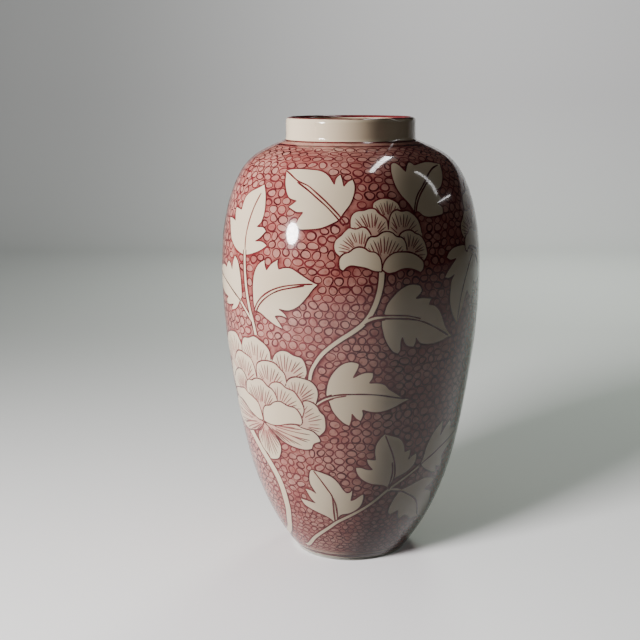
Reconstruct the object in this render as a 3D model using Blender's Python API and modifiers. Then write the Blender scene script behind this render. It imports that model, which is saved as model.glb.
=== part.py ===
"""Porcelain vase, built as the potter's five turned sections.

The foot ring carries the base disc and the lower body. The upper body stands on the lower
body at the belly, and the neck collar stands on the upper body. Each joint is a stepped lap,
with a slip joint's width left between the two pieces.
Metres, +Z up. The vase stands on Z = 0 with its axis on the Z axis.
"""
import math

import bpy
import numpy as np

# Silhouette of the body: heights are up from the foot and drops down from the neck's seat,
# insets are in from the belly's radius and the outset is out from the foot's
BODY_HEIGHT = 0.2843
BELLY_RADIUS = 0.0880
FOOT_RADIUS = 0.0385
HEEL_HEIGHT, HEEL_OUTSET = 0.0120, 0.0085
FLANK_HEIGHT, FLANK_INSET = 0.0500, 0.0225
WAIST_HEIGHT, WAIST_INSET = 0.1100, 0.0085
BELLY_DROP = 0.0893
SHOULDER_DROP, SHOULDER_INSET = 0.0393, 0.0060
SHOULDER_EDGE_DROP, SHOULDER_EDGE_INSET = 0.0123, 0.0200

# Neck collar
NECK_HEIGHT = 0.0157
NECK_RADIUS = 0.0436
NECK_WALL = 0.0040
NECK_FILLET = 0.0020
NECK_SHELF = 0.0004
SPIGOT_DEPTH = 0.0045

# Walls and foot
BODY_WALL = 0.0042
HEEL_WALL = 0.0070
FOOT_RING_HEIGHT = 0.0080
FOOT_EDGE_ROUND = 0.0010
FOOT_TONGUE_WIDTH = 0.0055
BASE_DISC_THICKNESS = 0.0050
BASE_DISC_LEDGE = 0.0045

# Joints
SLIP_GAP = 0.0003
LAP_HEIGHT = 0.0050
FOOT_LAP_HEIGHT = 0.0025

# Turning
SEGMENTS = 60
MERGE_DISTANCE = 0.00001
SHARP_ANGLE = math.radians(35)
PROFILE_SAMPLES = 600

# Glaze and clay: colour, roughness
LOOKS = {
    "foot_ring": ((0.72, 0.68, 0.62), 0.75),
    "base_disc": ((0.74, 0.71, 0.64), 0.20),
    "lower_body": ((0.42, 0.17, 0.14), 0.12),
    "upper_body": ((0.42, 0.17, 0.14), 0.12),
    "neck_collar": ((0.74, 0.71, 0.64), 0.10),
}


def natural_spline(points, samples):
    """Natural cubic spline through the points, with chord length as its parameter."""
    points = np.array(points)
    spans = np.linalg.norm(np.diff(points, axis=0), axis=1)
    knots = np.concatenate([[0.0], np.cumsum(spans)])
    count = len(points)
    system, right_side = np.eye(count), np.zeros_like(points)
    for i in range(1, count - 1):
        system[i, i - 1:i + 2] = spans[i - 1], 2 * (spans[i - 1] + spans[i]), spans[i]
        slope_change = (points[i + 1] - points[i]) / spans[i] - (points[i] - points[i - 1]) / spans[i - 1]
        right_side[i] = 6 * slope_change
    bends = np.linalg.solve(system, right_side)
    where = np.linspace(0, knots[-1], samples)
    left = np.clip(np.searchsorted(knots, where) - 1, 0, count - 2)
    span = spans[left][:, None]
    after = (where - knots[left])[:, None] / span
    before = 1 - after
    line = before * points[left] + after * points[left + 1]
    bow = (before**3 - before) * bends[left] + (after**3 - after) * bends[left + 1]
    return line + bow * span**2 / 6


def outer_curve():
    """The body's silhouette from the foot's edge up to the neck's seat, as (radius, height) rows."""
    return natural_spline([
        (FOOT_RADIUS, 0.0),
        (FOOT_RADIUS + HEEL_OUTSET, HEEL_HEIGHT),
        (BELLY_RADIUS - FLANK_INSET, FLANK_HEIGHT),
        (BELLY_RADIUS - WAIST_INSET, WAIST_HEIGHT),
        (BELLY_RADIUS, BODY_HEIGHT - BELLY_DROP),
        (BELLY_RADIUS - SHOULDER_INSET, BODY_HEIGHT - SHOULDER_DROP),
        (BELLY_RADIUS - SHOULDER_EDGE_INSET, BODY_HEIGHT - SHOULDER_EDGE_DROP),
        (NECK_RADIUS + NECK_FILLET + NECK_SHELF, BODY_HEIGHT),
    ], PROFILE_SAMPLES)


def inner_curve(outer):
    """The outer curve moved in by the wall, which thickens from the flank down to the heel."""
    along = np.gradient(outer, axis=0)
    along /= np.linalg.norm(along, axis=1)[:, None]
    inward = np.column_stack([-along[:, 1], along[:, 0]])
    down = np.clip((FLANK_HEIGHT - outer[:, 1]) / FLANK_HEIGHT, 0, 1)
    wall = BODY_WALL + (HEEL_WALL - BODY_WALL) * down**2 * (3 - 2 * down)
    return outer + inward * wall[:, None]


OUTER = outer_curve()
INNER = inner_curve(OUTER)
BELLY_HEIGHT = BODY_HEIGHT - BELLY_DROP
LOWER_BODY_BOTTOM = FOOT_RING_HEIGHT + SLIP_GAP


def outer_radius(height):
    return float(np.interp(height, OUTER[:, 1], OUTER[:, 0]))


def inner_radius(height):
    return float(np.interp(height, INNER[:, 1], INNER[:, 0]))


def wall_line(radius_at, start, end, rows):
    """Points on one face of the wall, from one height to another."""
    return [(radius_at(height), height) for height in np.linspace(start, end, rows)]


def arc(centre, radius, start_degrees, end_degrees, steps):
    """Points along an arc in the profile's plane, as (radius, height)."""
    angles = np.radians(np.linspace(start_degrees, end_degrees, steps + 1))
    return [(centre[0] + radius * math.cos(a), centre[1] + radius * math.sin(a)) for a in angles]


def material(name):
    colour, roughness = LOOKS[name]
    result = bpy.data.materials.new(name)
    result.use_nodes = True
    shader = result.node_tree.nodes["Principled BSDF"]
    shader.inputs["Base Color"].default_value = (*colour, 1)
    shader.inputs["Roughness"].default_value = roughness
    shader.inputs["Metallic"].default_value = 0
    return result


def turn(name, profile, closed=True):
    """Turn a profile in the XZ plane about the Z axis into a named object."""
    edges = [(i, i + 1) for i in range(len(profile) - 1)]
    if closed:
        edges.append((len(profile) - 1, 0))
    outline = bpy.data.meshes.new(name + "_profile")
    outline.from_pydata([(radius, 0, height) for radius, height in profile], edges, [])
    piece = bpy.data.objects.new(name, outline)
    bpy.data.collections["porcelain_vase"].objects.link(piece)
    screw = piece.modifiers.new("turning", "SCREW")
    screw.steps = screw.render_steps = SEGMENTS
    screw.use_merge_vertices = True
    screw.merge_threshold = MERGE_DISTANCE
    turned = piece.evaluated_get(bpy.context.evaluated_depsgraph_get())
    piece.data = bpy.data.meshes.new_from_object(turned)
    piece.data.name = name
    piece.modifiers.clear()
    piece.data.shade_smooth()
    piece.data.set_sharp_from_angle(angle=SHARP_ANGLE)
    piece.data.materials.append(material(name))


def foot_lap_radius():
    """Where the foot's lap steps, halfway through the heel's wall."""
    return (outer_radius(FOOT_RING_HEIGHT) + inner_radius(FOOT_RING_HEIGHT + FOOT_LAP_HEIGHT)) / 2


def foot_ring():
    """Ring the vase stands on, with a ledge for the base disc and a tongue for the body."""
    tongue_top = FOOT_RING_HEIGHT + FOOT_LAP_HEIGHT
    tongue_inside = base_disc_radius() + SLIP_GAP
    ledge_height = base_ledge_height()
    outside = wall_line(outer_radius, FOOT_RING_HEIGHT, FOOT_EDGE_ROUND, 5)
    outer_edge = (outer_radius(FOOT_EDGE_ROUND) - FOOT_EDGE_ROUND, FOOT_EDGE_ROUND)
    bore = base_disc_radius() - BASE_DISC_LEDGE
    inner_edge = (bore + FOOT_EDGE_ROUND, FOOT_EDGE_ROUND)
    turn("foot_ring", (
        outside
        + arc(outer_edge, FOOT_EDGE_ROUND, -30, -90, 2)
        + arc(inner_edge, FOOT_EDGE_ROUND, -90, -180, 3)
        + [(bore, ledge_height), (tongue_inside, ledge_height)]
        + [(tongue_inside, tongue_top), (foot_lap_radius(), tongue_top)]
        + [(foot_lap_radius(), FOOT_RING_HEIGHT)]))


def base_disc_radius():
    """The disc reaches out to the foot ring's tongue, less the slip."""
    return foot_lap_radius() - FOOT_TONGUE_WIDTH - SLIP_GAP


def base_ledge_height():
    """Low enough for the disc's top to end level with the ring's tongue."""
    return FOOT_RING_HEIGHT + FOOT_LAP_HEIGHT - BASE_DISC_THICKNESS


def base_disc():
    """Floor of the vase, lying on the foot ring's ledge."""
    bottom = base_ledge_height() + SLIP_GAP
    top = bottom + BASE_DISC_THICKNESS
    radius = base_disc_radius()
    turn("base_disc", [(0, top), (radius, top), (radius, bottom), (0, bottom)], closed=False)


def lower_body():
    """Wall from the foot ring up to the belly, with a tongue inside its top."""
    lap_inside = foot_lap_radius() + SLIP_GAP
    lap_top = LOWER_BODY_BOTTOM + FOOT_LAP_HEIGHT
    tongue_top = BELLY_HEIGHT + LAP_HEIGHT
    turn("lower_body", (
        [(belly_lap_radius(), tongue_top), (belly_lap_radius(), BELLY_HEIGHT)]
        + wall_line(outer_radius, BELLY_HEIGHT, LOWER_BODY_BOTTOM, 13)
        + [(lap_inside, LOWER_BODY_BOTTOM), (lap_inside, lap_top)]
        + wall_line(inner_radius, lap_top, tongue_top, 12)))


def belly_lap_radius():
    """Outside of the lower body's tongue, half a gap inside the middle of the wall."""
    return BELLY_RADIUS - (BODY_WALL + SLIP_GAP) / 2


def upper_body():
    """Wall from the belly over the shoulder to the neck, with a skirt outside the tongue."""
    skirt_inside = belly_lap_radius() + SLIP_GAP
    skirt_bottom = BELLY_HEIGHT + SLIP_GAP
    lap_top = BELLY_HEIGHT + LAP_HEIGHT + SLIP_GAP
    bore = spigot_radius() + SLIP_GAP
    wall_end = float(INNER[-1, 1])
    turn("upper_body", (
        [(bore, BODY_HEIGHT)]
        + wall_line(outer_radius, BODY_HEIGHT, skirt_bottom, 13)
        + [(skirt_inside, skirt_bottom), (skirt_inside, lap_top)]
        + wall_line(inner_radius, lap_top, wall_end, 11)
        + [(bore, wall_end)]))


def spigot_radius():
    """Outside of the collar's spigot, halfway through the neck's wall."""
    return NECK_RADIUS - NECK_WALL / 2


def neck_collar():
    """Upright neck with a round lip, a fillet at its foot and a spigot in the shoulder."""
    bottom = BODY_HEIGHT + SLIP_GAP
    top = BODY_HEIGHT + NECK_HEIGHT
    bore = NECK_RADIUS - NECK_WALL
    lip = ((NECK_RADIUS + bore) / 2, top - NECK_WALL / 2)
    fillet = (NECK_RADIUS + NECK_FILLET, bottom + NECK_FILLET)
    spigot_bottom = BODY_HEIGHT - SPIGOT_DEPTH
    turn("neck_collar", (
        arc(lip, NECK_WALL / 2, 90, 0, 4)
        + arc(fillet, NECK_FILLET, 180, 270, 4)
        + [(spigot_radius(), bottom), (spigot_radius(), spigot_bottom), (bore, spigot_bottom)]
        + arc(lip, NECK_WALL / 2, 180, 90, 4)[:-1]))


for old in list(bpy.data.objects):
    bpy.data.objects.remove(old)
bpy.context.scene.collection.children.link(bpy.data.collections.new("porcelain_vase"))
foot_ring()
base_disc()
lower_body()
upper_body()
neck_collar()
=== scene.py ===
import math

import bpy
import numpy as np
from mathutils import Matrix, Vector
from mathutils.geometry import delaunay_2d_cdt


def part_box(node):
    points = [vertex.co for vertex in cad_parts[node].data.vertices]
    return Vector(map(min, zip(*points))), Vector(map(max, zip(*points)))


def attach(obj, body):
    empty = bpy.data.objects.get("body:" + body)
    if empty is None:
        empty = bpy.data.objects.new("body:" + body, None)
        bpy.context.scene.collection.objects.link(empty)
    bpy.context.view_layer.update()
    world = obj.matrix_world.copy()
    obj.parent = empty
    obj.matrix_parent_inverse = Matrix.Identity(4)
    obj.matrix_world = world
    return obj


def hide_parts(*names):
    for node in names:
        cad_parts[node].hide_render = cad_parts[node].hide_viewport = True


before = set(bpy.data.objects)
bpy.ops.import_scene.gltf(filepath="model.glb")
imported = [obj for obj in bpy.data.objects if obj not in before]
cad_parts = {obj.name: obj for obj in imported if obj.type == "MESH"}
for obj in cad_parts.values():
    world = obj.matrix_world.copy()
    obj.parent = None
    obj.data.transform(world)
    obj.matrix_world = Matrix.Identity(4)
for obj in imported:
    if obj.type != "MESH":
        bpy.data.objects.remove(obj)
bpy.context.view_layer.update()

# All sizes below are in millimetres and degrees; mm turns them into metres when a mesh is made.
mm = 0.001
draw = np.random.default_rng(11)

wallLook = {
    "inset": 0.17,  # the glaze lies this far inside the CAD wall, so that the paint on it stays within
    "stationGap": 2.0,  # two stations of the outline are never closer than this
    "firstStation": 1.0,  # below this the foot turns under
}


def outwardPoints(names):
    # the corners of all faces that look away from the axis, as heights and radii
    found = []
    for name in names:
        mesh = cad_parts[name].data
        mesh.calc_loop_triangles()
        corners = np.empty(len(mesh.loop_triangles) * 3, np.int32)
        mesh.loop_triangles.foreach_get("vertices", corners)
        places = np.empty(len(mesh.vertices) * 3, np.float32)
        mesh.vertices.foreach_get("co", places)
        triangles = places.reshape(-1, 3)[corners].reshape(-1, 3, 3).astype(float) / mm
        facing = np.cross(triangles[:, 1] - triangles[:, 0], triangles[:, 2] - triangles[:, 0])
        middle = triangles.mean(1)
        outward = (facing * middle)[:, :2].sum(1)
        limit = 0.2 * np.linalg.norm(facing, axis=1) * np.linalg.norm(middle[:, :2], axis=1)
        found.append(triangles[outward > limit].reshape(-1, 3))
    points = np.concatenate(found)
    return points[:, 2], np.hypot(points[:, 0], points[:, 1])


def silhouette(names):
    # the widest radius at each level, kept only where it bulges past the line between its neighbours
    heights, radii = outwardPoints(names)
    levels, place = np.unique(np.round(heights, 2), return_inverse=True)
    widest = np.zeros(len(levels))
    np.maximum.at(widest, place, radii)
    chain = []
    for point in zip(levels, widest):
        if point[0] < wallLook["firstStation"] - 0.01:
            continue
        while len(chain) > 1 and (
            (chain[-1][0] - chain[-2][0]) * (point[1] - chain[-2][1])
            >= (chain[-1][1] - chain[-2][1]) * (point[0] - chain[-2][0])
        ):
            chain.pop()
        if not chain or point[0] - chain[-1][0] > wallLook["stationGap"]:
            chain.append(point)
    return np.array(chain).T


def curveThrough(x, y):
    # a natural cubic: bends b solve h0*b0 + 2*(h0+h1)*b1 + h1*b2 = 6*(rise1-rise0), and are nil at the ends
    step = np.diff(x)
    rise = np.diff(y) / step
    inner = np.arange(1, len(x) - 1)
    system = np.eye(len(x))
    system[inner, inner - 1] = step[:-1]
    system[inner, inner] = 2 * (step[:-1] + step[1:])
    system[inner, inner + 1] = step[1:]
    right = np.zeros(len(x))
    right[inner] = 6 * np.diff(rise)
    bend = np.linalg.solve(system, right)

    def at(t):
        # value and slope of the cubic between the two stations beside t
        t = np.clip(np.asarray(t, float), x[0], x[-1])
        k = np.clip(np.searchsorted(x, t) - 1, 0, len(x) - 2)
        a = x[k + 1] - t
        b = t - x[k]
        h = step[k]
        start = y[k] / h - bend[k] * h / 6
        end = y[k + 1] / h - bend[k + 1] * h / 6
        value = (bend[k] * a**3 + bend[k + 1] * b**3) / (6 * h) + start * a + end * b
        slope = (bend[k + 1] * b**2 - bend[k] * a**2) / (2 * h) - start + end
        return value, slope

    return at


stationHeights, stationRadii = silhouette(["foot_ring", "lower_body", "upper_body"])
outline = curveThrough(stationHeights, stationRadii - wallLook["inset"])
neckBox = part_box("neck_collar")
neckTop = neckBox[1].z / mm
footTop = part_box("lower_body")[0].z / mm
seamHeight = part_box("upper_body")[0].z / mm
neckFoot = stationHeights[-1]


def onWall(turn, height, lift=0.0):
    # radius r at the height, slope s of r: the outward direction in the profile is (1, -s)/|(1, -s)|,
    # and turn goes round from the front, so x = r*sin(turn), y = -r*cos(turn)
    turn, height = np.broadcast_arrays(np.radians(np.asarray(turn, float)), np.asarray(height, float))
    radius, slope = outline(height)
    lean = 1 / np.hypot(1, slope)
    reach = radius + lift * lean
    rise = height - lift * slope * lean
    places = np.stack([reach * np.sin(turn), -reach * np.cos(turn), rise], -1)
    facing = np.stack([lean * np.sin(turn), -lean * np.cos(turn), -slope * lean], -1)
    return places, facing


def wallScale(height):
    # millimetres per degree round the wall, and per millimetre of height up it
    radius, slope = outline(height)
    return radius * math.pi / 180, np.hypot(1, slope)


def wrapped(turn):
    # the same turn between -180 and 180
    return (turn + 180) % 360 - 180


print("wall:", len(stationHeights), "stations, shoulder ends at", round(float(neckFoot), 1), "mm")


class Wire:
    # a shader socket that takes part in sums
    def __init__(self, recipe, socket):
        self.recipe = recipe
        self.socket = socket

    def joined(self, operation, other, swapped=False):
        # one Math node on the two
        pair = (other, self) if swapped else (self, other)
        return self.recipe.node("ShaderNodeMath", {"operation": operation}, {0: pair[0], 1: pair[1]})

    def __add__(self, other):
        return self.joined("ADD", other)

    def __radd__(self, other):
        return self.joined("ADD", other, True)

    def __sub__(self, other):
        return self.joined("SUBTRACT", other)

    def __rsub__(self, other):
        return self.joined("SUBTRACT", other, True)

    def __mul__(self, other):
        return self.joined("MULTIPLY", other)

    def __rmul__(self, other):
        return self.joined("MULTIPLY", other, True)

    def clipped(self):
        # kept between 0 and 1
        return self.recipe.node("ShaderNodeClamp", {}, {"Value": self})

    def between(self, low, high):
        # 0 at low, 1 at high, eased
        return self.recipe.node(
            "ShaderNodeMapRange",
            {"interpolation_type": "SMOOTHSTEP"},
            {"Value": self, "From Min": low, "From Max": high},
        )


class Recipe:
    # one material and the nodes in it
    def __init__(self, name):
        self.material = bpy.data.materials.new(name)
        self.material.use_nodes = True
        self.tree = self.material.node_tree
        self.tree.nodes.clear()
        self.place = None

    def node(self, kind, settings, sockets, output=0):
        # a node of this type, with its settings first and then the values or links of its sockets
        made = self.tree.nodes.new(kind)
        for key, value in settings.items():
            setattr(made, key, value)
        for key, value in sockets.items():
            if isinstance(value, Wire):
                self.tree.links.new(value.socket, made.inputs[key])
            else:
                made.inputs[key].default_value = value
        return Wire(self, made.outputs[output])

    def here(self):
        # the place on the piece, in metres
        if self.place is None:
            self.place = self.node("ShaderNodeTexCoord", {}, {}, "Object")
        return self.place

    def noise(self, grain, detail=2.0, shift=0.0):
        # grain is the size of a blotch in mm
        place = self.here()
        if shift:
            place = self.node("ShaderNodeMapping", {}, {"Vector": place, "Location": (shift, shift, shift)})
        return self.node(
            "ShaderNodeTexNoise", {}, {"Vector": place, "Scale": 1 / (grain * mm), "Detail": detail}
        )

    def mark(self, name):
        # a number kept on the mesh
        return self.node("ShaderNodeAttribute", {"attribute_name": name}, {}, "Fac")

    def blend(self, first, second, share):
        # the first colour at 0 and the second at 1
        return self.node(
            "ShaderNodeMix", {"data_type": "RGBA"}, {"Factor": share, 6: first, 7: second}, 2
        )

    def finish(self, sockets, normal=None):
        # every finish ends in one shader
        surface = {"Specular IOR Level": glazeLook["specular"], **sockets}
        if normal is not None:
            surface["Normal"] = normal
        shader = self.node("ShaderNodeBsdfPrincipled", {}, surface)
        out = self.tree.nodes.new("ShaderNodeOutputMaterial")
        self.tree.links.new(shader.socket, out.inputs["Surface"])
        return self.material


glazeLook = {
    "specular": 0.12,
    "gloss": 0.13,
    "coat": 0.55,
    "coatGloss": 0.045,
    "rippleGrain": 9.0,
    "ripple": 0.03,  # mm, the faint unevenness of a poured glaze
    "rippleStrength": 0.35,
}


def rippled(recipe):
    # slow noise as a bump
    ripples = recipe.noise(glazeLook["rippleGrain"], 1.0)
    deep = glazeLook["ripple"] * mm
    return recipe.node(
        "ShaderNodeBump", {}, {"Height": ripples, "Strength": glazeLook["rippleStrength"], "Distance": deep}
    )


def glossy(recipe, colour, gloss):
    # colour under a clear glaze
    return recipe.finish(
        {
            "Base Color": colour,
            "Roughness": gloss,
            "IOR": 1.5,
            "Coat Weight": glazeLook["coat"],
            "Coat Roughness": glazeLook["coatGloss"],
        },
        rippled(recipe),
    )


washLook = {
    "pale": (0.57, 0.255, 0.205, 1),
    "middle": (0.44, 0.145, 0.118, 1),
    "deep": (0.27, 0.053, 0.048, 1),
    "pool": (0.19, 0.021, 0.026, 1),
    "patch": 26.0,  # mm across a pale or dark patch
    "stroke": 5.0,
    "stain": 8.0,
    "poolReach": 2.0,
}


def washGround(recipe):
    # iron red brushed over ivory: broad pale and dark patches crossed by small strokes
    patches = recipe.noise(washLook["patch"], 3.0).between(0.38, 0.64)
    strokes = recipe.noise(washLook["stroke"], 3.0, 3.1).between(0.35, 0.75)
    stains = recipe.noise(washLook["stain"], 2.0, 11.3).between(0.56, 0.72)
    ground = recipe.blend(washLook["pale"], washLook["middle"], patches)
    ground = recipe.blend(ground, washLook["deep"], strokes * 0.5)
    return recipe.blend(ground, washLook["pool"], stains * 0.4), strokes


def washFinish():
    # the ground between the bubbles, darker where the red has run together beside the drawing
    recipe = Recipe("ironRedWash")
    ground, strokes = washGround(recipe)
    pools = (recipe.mark("pool") * (0.45 + strokes * 0.9)).clipped()
    return glossy(recipe, recipe.blend(ground, washLook["pool"], pools), 0.10 + strokes * 0.08)


bubbleLook = {
    "thin": (0.62, 0.345, 0.27, 1),
    "spot": (0.27, 0.065, 0.05, 1),
    "spotGrain": 2.4,
}


def bubbleFinish():
    # inside a bubble the ground shows through a thinner wash, each with its own strength and a few spots
    recipe = Recipe("bubbleWash")
    ground, strokes = washGround(recipe)
    colour = recipe.blend(ground, bubbleLook["thin"], recipe.mark("tone") * 0.6)
    spots = recipe.noise(bubbleLook["spotGrain"], 2.0, 5.7).between(0.50, 0.78)
    return glossy(recipe, recipe.blend(colour, bubbleLook["spot"], spots * 0.55), glazeLook["gloss"])


lineLook = {
    "light": (0.22, 0.033, 0.038, 1),
    "dark": (0.085, 0.013, 0.016, 1),
    "veinLight": (0.34, 0.095, 0.085, 1),
    "veinDark": (0.085, 0.032, 0.028, 1),
}


def lineFinish(name, light, dark, grain):
    # brush lines, thick and thin in colour along their way
    recipe = Recipe(name)
    streaks = recipe.noise(grain, 2.0, 1.7).between(0.3, 0.7)
    load = (streaks * 0.5 + recipe.mark("tone") * 0.75 - 0.1).clipped()
    return glossy(recipe, recipe.blend(light, dark, load), glazeLook["gloss"])


ivoryLook = {
    "clean": (0.80, 0.645, 0.465, 1),
    "warm": (0.77, 0.595, 0.415, 1),
    "blush": (0.60, 0.27, 0.22, 1),
}


def ivoryFinish(name, blush=False):
    # ivory glaze, a little warmer in places; petals are tinged where their veins meet
    recipe = Recipe(name)
    cloud = recipe.noise(30.0, 2.0, 8.3).between(0.3, 0.75)
    colour = recipe.blend(ivoryLook["clean"], ivoryLook["warm"], cloud * 0.7)
    if blush:
        colour = recipe.blend(colour, ivoryLook["blush"], recipe.mark("blush") * 0.75)
    return glossy(recipe, colour, glazeLook["gloss"])


clayLook = {
    "clean": (0.74, 0.70, 0.63, 1),
    "stained": (0.58, 0.50, 0.42, 1),
    "grain": 0.9,
    "stain": 9.0,
    "deep": 0.08,  # mm
}


def biscuitFinish():
    # unglazed clay under the foot, rubbed and slightly stained
    recipe = Recipe("bareClay")
    grain = recipe.noise(clayLook["grain"], 4.0)
    stain = recipe.noise(clayLook["stain"], 3.0, 2.2).between(0.45, 0.7)
    colour = recipe.blend(clayLook["clean"], clayLook["stained"], stain * 0.6)
    deep = clayLook["deep"] * mm
    rough = recipe.node("ShaderNodeBump", {}, {"Height": grain, "Strength": 0.5, "Distance": deep})
    return recipe.finish({"Base Color": colour, "Roughness": 0.55 + grain * 0.25, "IOR": 1.5}, rough)


finishes = {
    "wash": washFinish(),
    "bubble": bubbleFinish(),
    "line": lineFinish("ironRedLine", lineLook["light"], lineLook["dark"], 4.0),
    "vein": lineFinish("thinVeinLine", lineLook["veinLight"], lineLook["veinDark"], 6.0),
    "ivory": ivoryFinish("ivoryGlaze"),
    "enamel": ivoryFinish("leafIvory"),
    "petal": ivoryFinish("petalIvory", True),
    "biscuit": biscuitFinish(),
}
print("finishes:", len(finishes))


def putMesh(name, places, faces, facing, looks, marks=None, replaced=(), which=None):
    # places in mm; facing holds a direction for each place, or for each face corner in turn; marks are
    # numbers for the finishes, one for each place; which gives each face the number of its look
    mesh = bpy.data.meshes.new(name)
    mesh.vertices.add(len(places))
    mesh.vertices.foreach_set("co", (places * mm).astype(np.float32).ravel())
    mesh.loops.add(faces.size)
    mesh.loops.foreach_set("vertex_index", faces.ravel().astype(np.int32))
    mesh.polygons.add(len(faces))
    mesh.polygons.foreach_set("loop_start", np.arange(0, faces.size, faces.shape[1], dtype=np.int32))
    for look in looks:
        mesh.materials.append(finishes[look])
    if which is not None:
        mesh.polygons.foreach_set("material_index", which.astype(np.int32))
    mesh.update(calc_edges=True)
    mesh.shade_smooth()
    for key, values in (marks or {}).items():
        domain = "POINT" if len(values) == len(places) else "CORNER"
        mesh.attributes.new(key, "FLOAT", domain).data.foreach_set("value", values.astype(np.float32))
    corners = facing if len(facing) == faces.size else facing[faces.ravel()]
    mesh.normals_split_custom_set(corners.astype(np.float32))
    piece = bpy.data.objects.new(name, mesh)
    bpy.context.scene.collection.objects.link(piece)
    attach(piece, "root")
    if replaced:
        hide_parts(*replaced)
    print("piece:", name, len(faces) * (faces.shape[1] - 2), "triangles")


def carriedRound(directions, angle):
    # (radius, height) pairs taken to x = r*sin(a), y = -r*cos(a), z = height at each angle
    out, up = directions[:, :1], directions[:, 1:]
    return np.stack([out * np.sin(angle), -out * np.cos(angle), np.repeat(up, len(angle), 1)], -1)


def gridFaces(rows, columns, closedUp=False):
    # the four corners of each face between neighbouring rows of a grid that closes round
    row = np.arange(rows if closedUp else rows - 1)[:, None]
    column = np.arange(columns)[None]
    here, upper, after = row * columns, (row + 1) % rows * columns, (column + 1) % columns
    return np.stack([here + column, here + after, upper + after, upper + column], -1).reshape(-1, 4)


def turnedPiece(name, runs, around, replaced, marker=None):
    # runs are the stretches of a closed profile, each with its points, outward directions and look; the
    # profile is carried round the axis, points on the axis become one, and corners keep their run's direction
    points = np.concatenate([run[0][:-1] for run in runs])
    startFacing = np.concatenate([run[1][:-1] for run in runs])
    endFacing = np.concatenate([run[1][1:] for run in runs])
    looks = sorted({run[2] for run in runs})
    which = np.concatenate([np.full(len(run[0]) - 1, looks.index(run[2])) for run in runs])
    angle = np.arange(around) / around * 2 * np.pi
    places = carriedRound(points, angle).reshape(-1, 3)
    start, end = carriedRound(startFacing, angle), carriedRound(endFacing, angle)
    facing = np.stack([start, np.roll(start, -1, 1), np.roll(end, -1, 1), end], 2).reshape(-1, 4, 3)
    faces = gridFaces(len(points), around, True)
    row = faces // around
    faces = np.where(points[row, 0] < 1e-6, row * around, faces)
    halves = [0, 1, 2, 0, 2, 3]
    triangles = faces[:, halves].reshape(-1, 3)
    real = (triangles != np.roll(triangles, 1, 1)).all(1)
    used, triangles = np.unique(triangles[real], return_inverse=True)
    corners = facing[:, halves].reshape(-1, 3, 3)[real].reshape(-1, 3)
    putMesh(
        name, places[used], triangles.reshape(-1, 3), corners, looks,
        marker and marker(places[used]), replaced, np.repeat(which, around * 2)[real],
    )


def line(start, end, count=2):
    # a straight stretch of profile with its direction a quarter turn clockwise from the way it runs
    share = np.linspace(0, 1, count)[:, None]
    points = np.asarray(start, float) * (1 - share) + np.asarray(end, float) * share
    along = points[-1] - points[0]
    facing = np.array([along[1], -along[0]]) / np.linalg.norm(along)
    return points, np.repeat(facing[None], count, 0)


def arc(centre, reach, start, end, count, hollow=False):
    # part of an ellipse of half width a and half height b: centre + (a*cos(t), b*sin(t)), which faces
    # (cos(t)/a, sin(t)/b); t is measured from the outward direction, and a hollow one faces its centre
    angle = np.radians(np.linspace(start, end, count))
    ring = np.stack([np.cos(angle), np.sin(angle)], 1)
    facing = ring / reach
    facing /= np.linalg.norm(facing, axis=1)[:, None]
    return np.asarray(centre) + ring * reach, -facing if hollow else facing


def wallRun(low, high, step):
    # the outside between two heights, in even steps along the curve
    fine = np.linspace(low, high, 400)
    length = np.concatenate([[0], np.cumsum(np.hypot(np.diff(fine), np.diff(outline(fine)[0])))])
    heights = np.interp(np.linspace(0, length[-1], max(2, round(length[-1] / step))), length, fine)
    radius, slope = outline(heights)
    lean = 1 / np.hypot(1, slope)
    return np.stack([radius, heights], 1), np.stack([lean, -slope * lean], 1)


bodyLook = {
    "around": 400,
    "step": 1.35,
    "wall": 4.2,
    "thickFoot": 2.8,  # extra thickness at the foot, gone by the flank
    "flank": 50.0,
    "insideStep": 6.0,
}


def insideRun(low, high, first=None, last=None):
    # the inner wall, running down: the outside moved in by the wall's thickness along its own direction
    points, facing = wallRun(low, high, bodyLook["insideStep"])
    share = np.clip(points[:, 1] / bodyLook["flank"], 0, 1)
    thick = bodyLook["wall"] + bodyLook["thickFoot"] * (1 - share * share * (3 - 2 * share))
    points = points - facing * thick[:, None]
    if first is not None:
        keep = points[:, 1] < first[1] - 0.3
        points, facing = points[keep], facing[keep]
        points = np.vstack([points, first])
        facing = np.vstack([facing, facing[-1]])
    if last is not None:
        keep = points[:, 1] > last[1] + 0.3
        points, facing = points[keep], facing[keep]
        points = np.vstack([last, points])
        facing = np.vstack([facing[0], facing])
    return points[::-1], -facing[::-1]


# Points are (turn from the front, height); a third value marks a sharp point of the outline.

flatScale = 1.5  # mm per degree while a motif is drawn flat, about that of the belly


def flattened(points):
    # turns made millimetres by the flat scale
    return np.array([(p[0] * flatScale, p[1]) for p in points], float)


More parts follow.
